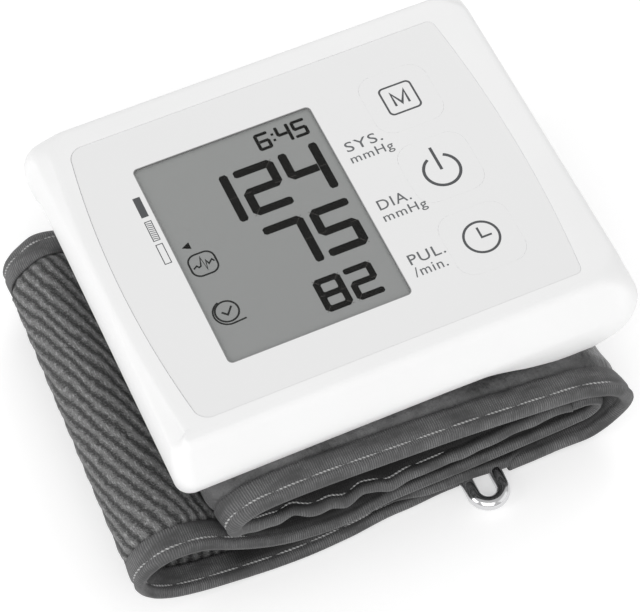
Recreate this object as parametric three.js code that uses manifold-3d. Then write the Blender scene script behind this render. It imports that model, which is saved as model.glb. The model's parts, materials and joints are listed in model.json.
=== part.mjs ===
// Wrist blood pressure monitor, its cuff rolled up under the case.
// Millimetres, +Z up, X to the right of the display, Y to its far side.
// The origin lies on the resting plane, under the middle of the case.

import * as THREE from "three";
import { mergeVertices } from "three/addons/utils/BufferGeometryUtils.js";
import Module from "manifold-3d";

// Clearances and smoothness
const gap = 0.3; // between pieces that touch
const overrun = 1; // how far a cut runs past the face that it opens
const round = { coarse: 16, fine: 32, corner: 6 };

// Cuff: a padded sleeve and a thinner strap, folded in layers
const CUFF = { width: 72, middleY: -4.4, slack: 14.1 };
const SLEEVE = { thick: 4.2, fabric: 0.6, curler: 0.65, shoulder: 2.5, pocketMargin: 10 };
const STRAP = { thick: 2.6, tongue: 0.9 };
const TAPE = { thick: 0.4, flange: 5.6 };
const WEBBING = { thick: 0.6, tail: 7, inset: 0.6 };
const RING = { wire: 2.35, pitch: 6.8, proud: 6.2, bend: 3.4 };

// Case
const CASE = { width: 85.8, bayMargin: 9.4, height: 16.2, wall: 1.8, roof: 2.3, corner: 3.4 };
const BELLY = { swell: 1.6, topInset: 1.5, innerCorner: 5, deepCorner: 7 };
const BAY = { drop: 4.8, reach: 28.9, shoulder: 9.4 };
const FLOOR = { thick: 1.5, recess: 1.3, ramp: 2.5 };
const BOSS = { radius: 2.6, inset: 4.1, splitHeight: 5.2 };
const SCREW = { shank: 1.8, head: 3.8, headHeight: 1.1, length: 7.5, slot: 0.6, slotDepth: 0.5 };
const PLATE = { sideMargin: 12.4, bayMargin: 7.5, depth: 46, thick: 1.3, corner: 5, screwInset: 4 };

// Face
const LABEL = { sideMargin: 7.4, endMargin: 5.1, corner: 2.6, thick: 0.6, sink: 0.1, x: -1.1, y: -1.1 };
const LABEL_BOW = { left: 2.5, right: 1.9 };
const WINDOW = { width: 34.4, depth: 43.7, corner: 1.3, thick: 0.7 };
const KEY = { size: 12.6, corner: 3, pitch: 16.5, travel: 0.4, stem: 6, stemLength: 1.9 };
const faceSpareShares = { left: 0.35, right: 0.254 };
const SWITCH = { size: 6, height: 1.0, plunger: 3, plungerHeight: 0.7 };

// Electronics
const BOARD = { thick: 1, underRoof: 2.3, margin: 1.2 };
const LCD = { thick: 1.9, rim: 0.8, holderMargin: 1.1, strip: 1.6, bezel: 3 };
const CHIP = { size: 10, height: 1.4, fromWindow: 3, y: 6 };
const BUZZER = { radius: 5, height: 2.2, wallInset: 7.6, y: 14 };
const SENSOR = { size: 7, height: 3, port: 1.3, portLength: 1.5, y: -18 };

// Air system
const PUMP = { can: 15, head: 11, wallGap: 1.55, frontInset: 3.1 };
const CRANK = { shaft: 0.8, disc: 2.6, discThick: 2, clearance: 0.6 };
const PIN = { radius: 0.7, offset: 1.4, length: 1.6 };
const VALVE = { size: 6.6, length: 12, fromManifold: 11.2, frontInset: 7.1, travel: 0.8 };
const PLUNGER = { radius: 1.2, length: 6 };
const HOSE = { radius: 1.3, sides: 8 };
const MANIFOLD = { width: 9, depth: 7, height: 4, fromPump: 20.1, y: 0, stub: 1.5, stubLength: 2 };

// Power
const CELL = { radius: 5.25, length: 44.5, nub: 1.9, nubLength: 0.8, spacing: 0.3 };
const CONTACT = { thick: 0.4, width: 8, height: 8, bump: 0.95 };
const SPRING = { room: 3.85, wire: 0.35, coils: 3, wideCoil: 3, coilSteps: 12, sides: 5 };
const DOOR = { flange: 6, runner: 9, runnerWidth: 2.4, runnerHeight: 1, height: 15.3 };

// Colours and surface of each material
const finish = (color, roughness, metalness = 0) =>
  new THREE.MeshStandardMaterial({ color, roughness, metalness });
const MATERIAL = {
  shell: finish(0xe9eaec, 0.45),
  face: finish(0xdfe0e2, 0.4),
  clear: finish(0xc8ccca, 0.08),
  display: finish(0x969896, 0.3),
  board: finish(0x2f6b46, 0.6),
  dark: finish(0x26272a, 0.5),
  rubber: finish(0x3a3b3d, 0.8),
  steel: finish(0xb9bcc0, 0.25, 1),
  chrome: finish(0xd8dadd, 0.1, 1),
  brass: finish(0xb79a58, 0.35, 1),
  nylon: finish(0xd9dad6, 0.5),
  cell: finish(0x3d4f6b, 0.35),
  cuffCloth: finish(0x4b4d51, 0.9),
  loopCloth: finish(0x4e5054, 0.95),
  tape: finish(0x55575b, 0.85),
  bladder: finish(0x8d8f92, 0.6),
};

// Solids: joining and cutting closed meshes
const wasm = await Module();
wasm.setup();

function solidOf(geometry) {
  const bare = new THREE.BufferGeometry();
  bare.setAttribute("position", geometry.getAttribute("position"));
  if (geometry.index) bare.setIndex(geometry.index);
  const merged = mergeVertices(bare, 1e-4);
  return new wasm.Manifold(
    new wasm.Mesh({
      numProp: 3,
      vertProperties: merged.attributes.position.array,
      triVerts: new Uint32Array(merged.index.array),
    }),
  );
}

function geometryOf(solid) {
  const mesh = solid.getMesh();
  const geometry = new THREE.BufferGeometry();
  const points = new Float32Array(mesh.vertProperties);
  geometry.setAttribute("position", new THREE.BufferAttribute(points, 3));
  geometry.setIndex(new THREE.BufferAttribute(new Uint32Array(mesh.triVerts), 1));
  return geometry;
}

const join = (first, ...others) =>
  geometryOf(others.reduce((sum, part) => sum.add(solidOf(part)), solidOf(first)));
const cut = (base, ...tools) =>
  geometryOf(tools.reduce((rest, tool) => rest.subtract(solidOf(tool)), solidOf(base)));
const overlap = (first, second) => geometryOf(solidOf(first).intersect(solidOf(second)));

// Shapes: boxes, rods and plates between named faces
function box([x0, x1], [y0, y1], [z0, z1]) {
  const geometry = new THREE.BoxGeometry(x1 - x0, y1 - y0, z1 - z0);
  return geometry.translate((x0 + x1) / 2, (y0 + y1) / 2, (z0 + z1) / 2);
}

const around = (middle, size) => [middle - size / 2, middle + size / 2];
const at = (x, y, z) => new THREE.Vector3(x, y, z);

function rodZ(x, y, radius, z0, z1, sides = round.fine) {
  const rod = new THREE.CylinderGeometry(radius, radius, z1 - z0, sides);
  return rod.rotateX(Math.PI / 2).translate(x, y, (z0 + z1) / 2);
}

function rodY(x, z, radius, y0, y1, sides = round.fine) {
  return new THREE.CylinderGeometry(radius, radius, y1 - y0, sides).translate(x, (y0 + y1) / 2, z);
}

function rodX(y, z, radius, x0, x1, sides = round.fine) {
  const rod = new THREE.CylinderGeometry(radius, radius, x1 - x0, sides);
  return rod.rotateZ(Math.PI / 2).translate((x0 + x1) / 2, y, z);
}

// A rounded rectangle about the origin, its left and right sides bowed outwards
function roundedOutline(width, depth, radius, bow = { left: 0, right: 0 }) {
  const points = [];
  const sides = bow.left + bow.right > 0 ? round.coarse : 1;
  for (let corner = 0; corner < 4; corner++) {
    const signX = corner === 0 || corner === 3 ? 1 : -1;
    const signY = corner < 2 ? 1 : -1;
    const centreX = signX * (width / 2 - radius);
    const centreY = signY * (depth / 2 - radius);
    for (let i = 0; i <= round.corner; i++) {
      const angle = ((corner + i / round.corner) * Math.PI) / 2;
      points.push(
        new THREE.Vector2(centreX + radius * Math.cos(angle), centreY + radius * Math.sin(angle)),
      );
    }
    const alongSide = corner === 1 || corner === 3;
    if (!alongSide) continue;
    for (let i = 1; i < sides; i++) {
      const y = centreY * (1 - (2 * i) / sides);
      points.push(new THREE.Vector2((signX * width) / 2, y));
    }
  }
  return points.map((p) => {
    const side = p.x < 0 ? bow.left : bow.right;
    const bulge = (side * (1 - ((2 * p.y) / depth) ** 2) * 2 * p.x) / width;
    return new THREE.Vector2(p.x + bulge, p.y);
  });
}

function plate(outline, x, y, z0, z1) {
  const shape = new THREE.Shape(outline);
  const geometry = new THREE.ExtrudeGeometry(shape, { depth: z1 - z0, bevelEnabled: false });
  return geometry.translate(x, y, z0);
}

// A prism with its outline in the XZ plane, running along Y
function prismY(outline, y0, y1) {
  const shape = new THREE.Shape(outline);
  const geometry = new THREE.ExtrudeGeometry(shape, { depth: y1 - y0, bevelEnabled: false });
  return geometry.rotateX(Math.PI / 2).translate(0, y1, 0);
}

// A closed skin over rings of points, the first and last ring capped as the flat section is
function skin(rings, section) {
  const count = section.length;
  const caps = THREE.ShapeUtils.triangulateShape(section, []);
  const last = (rings.length - 1) * count;
  const faces = [];
  for (const [a, b, c] of caps) {
    faces.push(a, c, b);
    faces.push(last + a, last + b, last + c);
  }
  for (let ring = 0; ring < rings.length - 1; ring++) {
    for (let i = 0; i < count; i++) {
      const here = ring * count + i;
      const next = ring * count + ((i + 1) % count);
      faces.push(here, next, here + count);
      faces.push(next, next + count, here + count);
    }
  }
  const geometry = new THREE.BufferGeometry();
  geometry.setFromPoints(rings.flat());
  geometry.setIndex(faces);
  return geometry;
}

// Heights of the folded cuff: each layer stands on the ones below, with its share of the slack
const strapLevels = [STRAP.thick / 2, STRAP.thick * 1.5, 2 * STRAP.thick + SLEEVE.thick / 2];
const sleeveLevels = [SLEEVE.thick / 2, strapLevels[2], strapLevels[2] + SLEEVE.thick];
const rollHeight = 2 * STRAP.thick + 2 * SLEEVE.thick + CUFF.slack;
const halfWidth = CASE.width / 2;

// The sleeve starts at the ring, turns up at the right, runs left under the case and comes back.
// Each row holds a share of half the case's width, a level, and a share of the slack.
const sleeveShares = [
  [0.485, 0, 0],
  [0.583, 0, 0],
  [0.711, 0, 0.01],
  [0.822, 0.2, 0],
  [0.91, 0.6, 0.048],
  [0.96, 1, 0.163],
  [0.932, 1.4, 0.313],
  [0.861, 1.7, 0.458],
  [0.748, 2, 0.532],
  [0.51, 2, 0.667],
  [0.198, 2, 0.809],
  [-0.105, 2, 0.901],
  [-0.403, 2, 0.979],
  [-0.608, 2, 1],
  [-0.741, 2, 0.957],
  [-0.822, 1.7, 0.905],
  [-0.844, 1.5, 0.794],
  [-0.816, 1.3, 0.691],
  [-0.734, 1, 0.631],
  [-0.606, 1, 0.532],
  [-0.401, 1, 0.426],
  [-0.096, 1, 0.319],
  [0.212, 1, 0.333],
  [0.522, 1, 0.433],
  [0.716, 1, 0.468],
];

// The strap goes on from the sleeve's inner end, makes the loop at the left and ends at the ring
const strapShares = [
  [0.723, 2, 0.468],
  [0.807, 1.9, 0.443],
  [0.856, 1.5, 0.383],
  [0.82, 1.1, 0.323],
  [0.723, 1, 0.298],
  [0.534, 1, 0.27],
  [0.219, 1, 0.241],
  [-0.093, 1, 0.234],
  [-0.303, 1, 0.184],
  [-0.42, 1, 0.191],
  [-0.559, 1, 0.27],
  [-0.665, 1, 0.397],
  [-0.76, 1, 0.567],
  [-0.856, 1, 0.78],
  [-0.923, 1, 0.95],
  [-0.993, 1, 1.064],
  [-1.109, 1, 1.106],
  [-1.203, 0.9, 0.962],
  [-1.242, 0.7, 0.715],
  [-1.21, 0.5, 0.447],
  [-1.126, 0.3, 0.25],
  [-0.993, 0.1, 0.123],
  [-0.816, 0, 0.035],
  [-0.676, 0, 0],
  [-0.466, 0, 0],
  [0, 0, 0],
  [0.152, 0, 0],
];

function levelHeight(levels, level) {
  const below = Math.min(Math.floor(level), levels.length - 2);
  return THREE.MathUtils.lerp(levels[below], levels[below + 1], level - below);
}

function routeOf(shares, levels) {
  const points = shares.map(
    ([reach, level, slack]) =>
      new THREE.Vector3(reach * halfWidth, 0, levelHeight(levels, level) + slack * CUFF.slack),
  );
  return new THREE.CatmullRomCurve3(points, false, "centripetal");
}

// Stations along a route: close together where it bends, further apart where it runs straight.
// Each has its point and the normal that faces out of the roll.
function stationsOf(route, lowest, from = 0, to = 1) {
  const turnStep = THREE.MathUtils.degToRad(17);
  const longestStepShare = 1 / 22;
  const fineness = 500;
  const stations = [];
  let lastAngle = null;
  let lastShare = null;
  for (let i = 0; i <= fineness; i++) {
    const share = THREE.MathUtils.lerp(from, to, i / fineness);
    const point = route.getPointAt(share);
    const tangent = route.getTangentAt(share);
    const angle = Math.atan2(tangent.z, tangent.x);
    const turned = lastAngle === null ? 0 : Math.abs(Math.sin((angle - lastAngle) / 2)) * 2;
    const due = lastAngle === null || turned > turnStep || share - lastShare > longestStepShare;
    if (!due && i < fineness) continue;
    point.z = Math.max(point.z, lowest);
    stations.push({ point, normal: new THREE.Vector3(tangent.z, 0, -tangent.x).normalize() });
    lastAngle = angle;
    lastShare = share;
  }
  return stations;
}

// A band along stations, its section in (offset from the middle line, place across the width)
function band(stations, section) {
  const outline = section.map(([offset, y]) => new THREE.Vector2(offset, y));
  if (THREE.ShapeUtils.isClockWise(outline)) outline.reverse();
  const rings = stations.map(({ point, normal }) =>
    outline.map((p) => at(point.x + normal.x * p.x, p.y, point.z + normal.z * p.x)),
  );
  return skin(rings, outline);
}

const cuffFront = CUFF.middleY - CUFF.width / 2;
const cuffBack = CUFF.middleY + CUFF.width / 2;
const sleeveRoute = routeOf(sleeveShares, sleeveLevels);
const strapRoute = routeOf(strapShares, strapLevels);
const sleeveStations = stationsOf(sleeveRoute, SLEEVE.thick / 2);
const strapStations = stationsOf(strapRoute, STRAP.thick / 2);

// Across the width: where the cloth's edge, its flat seam and its padding begin
const edgeInset = TAPE.thick + gap;
const seamInset = TAPE.flange + gap;
const padInset = seamInset + SLEEVE.shoulder;
const pocketFront = cuffFront + SLEEVE.pocketMargin;
const pocketBack = cuffBack - SLEEVE.pocketMargin;

// Through the sleeve's thickness, measured from its middle line: the curler sheet and the bladder
const curlerHigh = SLEEVE.thick / 2 - SLEEVE.fabric - gap;
const curlerLow = curlerHigh - SLEEVE.curler;
const bladderHigh = curlerLow - gap;
const bladderLow = -curlerHigh;

// One cloth of the sleeve, on the outer side when side is 1 and on the wrist's side when it is -1
function sleeveCloth(side) {
  const low = gap / 2;
  const high = SLEEVE.thick / 2 - SLEEVE.fabric;
  const line = [
    [low, cuffFront + edgeInset],
    [low, cuffFront + seamInset],
    [high, cuffFront + padInset],
    [high, cuffBack - padInset],
    [low, cuffBack - seamInset],
    [low, cuffBack - edgeInset],
  ];
  const upper = line.map(([offset, y]) => [offset + SLEEVE.fabric, y]).reverse();
  return [...line, ...upper].map(([offset, y]) => [side * offset, y]);
}

const flatSection = (low, high, y0, y1) => [
  [low, y0],
  [low, y1],
  [high, y1],
  [high, y0],
];

// Binding tape folded round an edge: a channel whose web lies on the edge
function tapeSection(clothThick, edge, inwards) {
  const inner = clothThick / 2 + gap;
  const outer = inner + TAPE.thick;
  const tip = edge + inwards * TAPE.flange;
  const web = edge + inwards * TAPE.thick;
  return [
    [-outer, edge],
    [-outer, tip],
    [-inner, tip],
    [-inner, web],
    [inner, web],
    [inner, tip],
    [outer, tip],
    [outer, edge],
  ];
}

// Strap section: full thickness in the middle, thin tongues where the tape holds it
function strapSection() {
  const thin = STRAP.tongue / 2;
  const thick = STRAP.thick / 2;
  return [
    [-thin, cuffFront + edgeInset],
    [-thin, cuffFront + seamInset],
    [-thick, cuffFront + seamInset + thick],
    [-thick, cuffBack - seamInset - thick],
    [-thin, cuffBack - seamInset],
    [-thin, cuffBack - edgeInset],
    [thin, cuffBack - edgeInset],
    [thin, cuffBack - seamInset],
    [thick, cuffBack - seamInset - thick],
    [thick, cuffFront + seamInset + thick],
    [thin, cuffFront + seamInset],
    [thin, cuffFront + edgeInset],
  ];
}

// Heights of the case
const plateLow = rollHeight + gap;
const caseLow = plateLow + gap;
const caseTop = caseLow + CASE.height;
const bayLow = caseLow - BAY.drop;
const roofUnder = caseTop - CASE.roof;
const floorLow = caseLow + FLOOR.recess;
const floorTop = floorLow + FLOOR.thick;
const labelTop = caseTop - LABEL.sink;
const labelLow = labelTop - LABEL.thick;
const recessLow = labelLow - gap;
const boardTop = roofUnder - BOARD.underRoof;
const boardLow = boardTop - BOARD.thick;

// The cells and their contacts set how deep the case is
const contactInner = (CELL.length + CONTACT.bump + SPRING.room + gap) / 2;
const cellShift = (SPRING.room - CONTACT.bump - gap) / 2;
const doorHalf = contactInner + CONTACT.thick + gap;
const caseDepth = 2 * (doorHalf + CASE.bayMargin);
const insideX = halfWidth - CASE.wall;
const insideY = caseDepth / 2 - CASE.wall;

// Plan of the face: the window and the keys share out what the label has to spare
const labelWidth = CASE.width - 2 * LABEL.sideMargin;
const labelDepth = caseDepth - 2 * LABEL.endMargin;
const faceSpare = labelWidth - WINDOW.width - KEY.size;
const windowX = LABEL.x - labelWidth / 2 + faceSpareShares.left * faceSpare + WINDOW.width / 2;
const keyX = LABEL.x + labelWidth / 2 - faceSpareShares.right * faceSpare - KEY.size / 2;

// Plan of the inside: the battery bay at the right wall, then the pump, the manifold and the valve
const bayStart = halfWidth - BAY.reach;
const bayEnd = halfWidth - BAY.shoulder;
const cellX = [insideX - CELL.spacing - CELL.radius - gap - 2 * CELL.radius - CELL.spacing];
cellX.push(cellX[0] + 2 * CELL.radius + CELL.spacing);
const bayWall = { left: cellX[0] - CELL.radius - gap, thick: 1 };
const holderLow = boardTop + gap;
const pumpRadius = (holderLow - floorTop) / 2 - gap;
const pumpFront = PUMP.frontInset - insideY;
const valveFront = VALVE.frontInset - insideY;
const pumpX = bayWall.left - bayWall.thick - PUMP.wallGap - pumpRadius;
const manifoldX = pumpX - MANIFOLD.fromPump;
const valveX = manifoldX - VALVE.fromManifold;
const buzzerX = BUZZER.wallInset - insideX;
const plateLeft = PLATE.sideMargin - halfWidth;
const plateRight = bayStart - PLATE.bayMargin;
const plateX = (plateLeft + plateRight) / 2;

// The lower edge of the case wall: level, then an easy step down to the battery bay
function wallBottom(x) {
  return caseLow - BAY.drop * THREE.MathUtils.smoothstep(x, bayStart, bayEnd);
}

function stepPoints(x0, x1, lift) {
  const points = [];
  for (let i = 0; i <= round.coarse; i++) {
    const x = THREE.MathUtils.lerp(x0, x1, i / round.coarse);
    points.push(new THREE.Vector2(x, wallBottom(x) + lift));
  }
  return points;
}

const root = new THREE.Group();

function piece(name, geometry, material, group = root) {
  const mesh = new THREE.Mesh(geometry, material);
  mesh.name = name;
  group.add(mesh);
  return mesh;
}

// The case's outside, bottom to top, as shares: of the way up from the rim, of the swell
// and of the top edge's inset. Rows below the rim reach down to the battery bay.
const bellyShares = [
  [0, 0, 0],
  [0.08, 0.5, 0],
  [0.2, 0.92, 0],
  [0.33, 1, 0],
  [0.5, 0.68, 0],
  [0.66, 0.2, 0],
  [0.8, 0, 0.15],
  [0.92, 0, 0.5],
  [0.97, 0, 0.68],
  [0.992, 0, 0.85],
  [1, 0, 1],
];

function caseBlock() {
  const below = [
    { z: bayLow, inset: 0, corner: BELLY.deepCorner },
    { z: (bayLow + caseLow) / 2, inset: 0, corner: (BELLY.deepCorner + CASE.corner) / 2 },
  ];
  const above = bellyShares.map(([up, swell, top]) => ({
    z: caseLow + up * CASE.height,
    inset: top * BELLY.topInset - swell * BELLY.swell,
    corner: CASE.corner,
  }));
  const outlineAt = ({ inset, corner }) =>
    roundedOutline(CASE.width - 2 * inset, caseDepth - 2 * inset, corner);
  const levels = [...below, ...above];
  const rings = levels.map((level) => outlineAt(level).map((p) => at(p.x, p.y, level.z)));
  return skin(rings, outlineAt(levels[0]));
}

const doorTop = bayLow + DOOR.height;
const bossPlaces = [-1, 1].flatMap((sideX) =>
  [-1, 1].map((sideY) => [sideX * (insideX - BOSS.inset), sideY * (insideY - BOSS.inset)]),
);
const keyPlaces = [
  ["memory", LABEL.y + KEY.pitch],
  ["power", LABEL.y],
  ["clock", LABEL.y - KEY.pitch],
];
const bossSplit = floorTop + BOSS.splitHeight;

// Upper case: the white shell with the recess for the face
function upperCase() {
  const innerOutline = roundedOutline(2 * insideX, 2 * insideY, BELLY.innerCorner);
  const hollow = plate(innerOutline, 0, 0, bayLow - overrun, roofUnder);
  const under = prismY(
    [
      new THREE.Vector2(-CASE.width, bayLow - overrun),
      new THREE.Vector2(CASE.width, bayLow - overrun),
      new THREE.Vector2(CASE.width, bayLow),
      ...stepPoints(bayEnd, bayStart, 0),
      new THREE.Vector2(-CASE.width, caseLow),
    ],
    -caseDepth,
    caseDepth,
  );
  const faceOutline = roundedOutline(
    labelWidth + 2 * gap,
    labelDepth + 2 * gap,
    LABEL.corner + gap,
    LABEL_BOW,
  );
  const recess = plate(faceOutline, LABEL.x, LABEL.y, recessLow, caseTop + overrun);
  const windowOutline = roundedOutline(WINDOW.width, WINDOW.depth, WINDOW.corner);
  const opening = plate(windowOutline, windowX, LABEL.y, roofUnder - overrun, caseTop);
  const keyCuts = keyPlaces.flatMap(([, y]) => {
    const pocket = roundedOutline(KEY.size + 2 * gap, KEY.size + 2 * gap, KEY.corner + gap);
    return [
      plate(pocket, keyX, y, recessLow - KEY.travel, caseTop),
      rodZ(keyX, y, KEY.stem / 2 + gap, roofUnder - overrun, caseTop),
    ];
  });
  const doorway = box(
    [insideX - overrun, CASE.width],
    [-doorHalf, doorHalf],
    [bayLow - overrun, doorTop + gap],
  );
  const shell = cut(caseBlock(), hollow, under, recess, opening, ...keyCuts, doorway);
  const bosses = bossPlaces.map(([x, y]) =>
    rodZ(x, y, BOSS.radius, bossSplit, roofUnder + gap, round.coarse),
  );
  const bores = bossPlaces.map(([x, y]) =>
    rodZ(x, y, SCREW.shank / 2 + gap, bossSplit - overrun, roofUnder - gap, round.coarse),
  );
  return cut(join(shell, ...bosses), ...bores);
}

// Lower case: the floor with the battery bay's walls, the cell cradle and the screw pillars
const steepest = (1.5 * BAY.drop) / (bayEnd - bayStart);
const cellZ =
  wallBottom(cellX[0]) + FLOOR.thick + 2 * gap + CELL.radius * Math.hypot(1, steepest);
const bayWallTop = boardLow - gap;

function lowerCase() {
  const turn = bayStart - FLOOR.ramp;
  const outline = [
    new THREE.Vector2(-halfWidth, floorLow),
    new THREE.Vector2(turn, floorLow),
    ...stepPoints(bayStart, bayEnd, gap),
    new THREE.Vector2(halfWidth, bayLow + gap),
    new THREE.Vector2(halfWidth, bayLow + gap + FLOOR.thick),
    ...stepPoints(bayEnd, bayStart, gap + FLOOR.thick),
    new THREE.Vector2(turn, floorTop),
    new THREE.Vector2(-halfWidth, floorTop),
  ];
  const sheet = prismY(outline, -caseDepth / 2, caseDepth / 2);
  const plan = roundedOutline(
    2 * (insideX - gap),
    2 * (insideY - gap),
    BELLY.innerCorner - gap,
  );
  const floor = overlap(sheet, plate(plan, 0, 0, bayLow, caseTop));
  const pillars = bossPlaces.map(([x, y]) =>
    rodZ(x, y, BOSS.radius, floorLowAt(x) + FLOOR.thick / 2, bossSplit - gap, round.coarse),
  );
  const wallBase = bayLow + gap + FLOOR.thick / 2;
  const contactWall = doorHalf + gap;
  const sideWalls = [-1, 1].map((side) =>
    box(
      [bayWall.left - bayWall.thick, insideX - 2 * gap],
      around(side * (contactWall + bayWall.thick / 2), bayWall.thick),
      [wallBase, bayWallTop],
    ),
  );
  const backWall = box(
    [bayWall.left - bayWall.thick, bayWall.left],
    [-contactWall - bayWall.thick / 2, contactWall + bayWall.thick / 2],
    [wallBottom(bayWall.left) + gap + FLOOR.thick / 2, bayWallTop],
  );
  const cradles = [-1, 1].map((side) =>
    box(
      [bayEnd - 2 * FLOOR.ramp, doorInner - gap],
      around((side * CELL.length) / 4, bayWall.thick * 2),
      [wallBase, cellZ - CELL.radius - gap],
    ),
  );
  const doorCut = box(
    [doorInner, halfWidth],
    [-doorHalf, doorHalf],
    [bayLow - overrun, bayLow + 2 * gap + FLOOR.thick],
  );
  const below = prismY(
    [
      new THREE.Vector2(-halfWidth, bayLow - overrun),
      new THREE.Vector2(halfWidth, bayLow - overrun),
      new THREE.Vector2(halfWidth, bayLow + gap),
      ...stepPoints(bayEnd, bayStart, gap),
      new THREE.Vector2(-halfWidth, caseLow + gap),
    ],
    -caseDepth,
    caseDepth,
  );
  const screwCuts = bossPlaces.flatMap(([x, y]) => [
    rodZ(x, y, SCREW.shank / 2 + gap, bayLow - overrun, caseTop, round.coarse),
    rodZ(x, y, SCREW.head / 2 + gap, bayLow - overrun, screwHeadTop(x) + gap, round.coarse),
  ]);
  const plateCuts = plateScrewPlaces.map(([x, y]) =>
    rodZ(x, y, SCREW.shank / 2 + gap, floorLow - overrun, floorTop + overrun, round.coarse),
  );
  const nozzleCut = rodZ(
    manifoldX,
    MANIFOLD.y,
    MANIFOLD.stub + gap,
    floorLow - overrun,
    floorTop + overrun,
    round.coarse,
  );
  const bosses = bossPlaces.map(([x, y]) =>
    rodZ(x, y, BOSS.radius + gap, bossSplit - gap, caseTop, round.coarse),
  );
  const body = join(floor, ...pillars, ...sideWalls, backWall, ...cradles);
  return cut(body, doorCut, below, ...screwCuts, ...plateCuts, nozzleCut, ...bosses);
}

function floorLowAt(x) {
  return x < bayStart ? floorLow : wallBottom(x) + gap;
}

const screwHeadTop = (x) => floorLowAt(x) + gap + SCREW.headHeight;
const doorInner = halfWidth - DOOR.flange;
const plateScrewPlaces = [-1, 1].flatMap((sideX) =>
  [-1, 1].map((sideY) => [
    plateX + sideX * ((plateRight - plateLeft) / 2 - PLATE.screwInset),
    CUFF.middleY + sideY * (PLATE.depth / 2 - PLATE.screwInset),
  ]),
);

piece("upper_case", upperCase(), MATERIAL.shell);
piece("lower_case", lowerCase(), MATERIAL.shell);

// A screw with its head down, its slot open below
function screw(x, y, headLow, length) {
  const headTop = headLow + SCREW.headHeight;
  const head = rodZ(x, y, SCREW.head / 2, headLow, headTop, round.coarse);
  const shank = rodZ(x, y, SCREW.shank / 2, headTop - SCREW.slotDepth, headTop + length, round.coarse);
  const slot = box(
    around(x, SCREW.head + overrun),
    around(y, SCREW.slot),
    [headLow - overrun, headLow + SCREW.slotDepth],
  );
  return cut(join(head, shank), slot);
}

bossPlaces.forEach(([x, y], i) => {
  const length = bossSplit + SCREW.length / 2 - screwHeadTop(x);
  piece(`case_screw_${i + 1}`, screw(x, y, screwHeadTop(x) - SCREW.headHeight, length), MATERIAL.steel);
});

// Face: label, display window, display and keys
function faceLabel() {
  const outline = roundedOutline(labelWidth, labelDepth, LABEL.corner, LABEL_BOW);
  const sheet = plate(outline, LABEL.x, LABEL.y, labelLow, labelTop);
  const windowOutline = roundedOutline(WINDOW.width, WINDOW.depth, WINDOW.corner);
  const opening = plate(windowOutline, windowX, LABEL.y, labelLow - overrun, labelTop + overrun);
  const keyOutline = roundedOutline(KEY.size + 2 * gap, KEY.size + 2 * gap, KEY.corner + gap);
  const keyOpenings = keyPlaces.map(([, y]) =>
    plate(keyOutline, keyX, y, labelLow - overrun, labelTop + overrun),
  );
  return cut(sheet, opening, ...keyOpenings);
}

const insetOutline = (inset) =>
  roundedOutline(WINDOW.width - 2 * inset, WINDOW.depth - 2 * inset, WINDOW.corner);
const lensLow = labelTop - WINDOW.thick;
const lcdTop = lensLow - gap;
const lcdLow = lcdTop - LCD.thick;
const holderTop = lcdLow - gap;
const lcdWidth = WINDOW.width - 2 * gap;
const lcdDepth = WINDOW.depth - 2 * gap;

piece("face_label", faceLabel(), MATERIAL.face);
piece(
  "display_window",
  plate(insetOutline(gap), windowX, LABEL.y, lensLow, labelTop),
  MATERIAL.clear,
);
piece("lcd_panel", plate(insetOutline(gap), windowX, LABEL.y, lcdLow, lcdTop), MATERIAL.display);

// Display holder: a frame on the board with a rim round the display and slots for its strip
const stripY = LABEL.y - lcdDepth / 2 + LCD.strip;
function lcdHolder() {
  const margin = LCD.holderMargin;
  const outer = box(
    around(windowX, lcdWidth + 2 * (gap + margin)),
    around(LABEL.y, lcdDepth + 2 * (gap + margin)),
    [holderLow, Math.min(holderTop + LCD.rim, roofUnder - gap)],
  );
  const seat = box(
    around(windowX, lcdWidth + 2 * gap),
    around(LABEL.y, lcdDepth + 2 * gap),
    [holderTop, roofUnder],
  );
  const middle = box(
    around(windowX, lcdWidth - 2 * LCD.bezel),
    around(LABEL.y, lcdDepth - 4 * LCD.bezel),
    [holderLow - overrun, roofUnder],
  );
  const slot = box(
    around(windowX, lcdWidth - 2 * LCD.bezel + 2 * gap),
    around(stripY, LCD.strip + 2 * gap),
    [holderLow - overrun, roofUnder],
  );
  return cut(outer, seat, middle, slot);
}

piece("lcd_holder", lcdHolder(), MATERIAL.nylon);
piece(
  "connector_strip",
  box(
    around(windowX, lcdWidth - 2 * LCD.bezel),
    around(stripY, LCD.strip),
    [holderLow, holderTop],
  ),
  MATERIAL.rubber,
);

// Keys: a cap level with the face, its stem, and the switch and plunger below
for (const [name, y] of keyPlaces) {
  const capOutline = roundedOutline(KEY.size, KEY.size, KEY.corner);
  const cap = plate(capOutline, keyX, y, labelLow, labelTop);
  const stemLow = labelLow - KEY.stemLength;
  const stem = rodZ(keyX, y, KEY.stem / 2, stemLow, labelLow + LABEL.thick / 2, round.fine);
  piece(`${name}_key`, join(cap, stem), MATERIAL.face);
  const plungerTop = stemLow - gap;
  const plungerLow = plungerTop - SWITCH.plungerHeight;
  piece(
    `${name}_switch_plunger`,
    rodZ(keyX, y, SWITCH.plunger / 2, plungerLow, plungerTop, round.coarse),
    MATERIAL.dark,
  );
  const body = box(
    around(keyX, SWITCH.size),
    around(y, SWITCH.size),
    [boardTop + gap, boardTop + gap + SWITCH.height],
  );
  const bore = rodZ(
    keyX,
    y,
    SWITCH.plunger / 2 + gap,
    boardTop,
    boardTop + SWITCH.height + overrun,
    round.coarse,
  );
  piece(`${name}_switch`, cut(body, bore), MATERIAL.steel);
}

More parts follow.
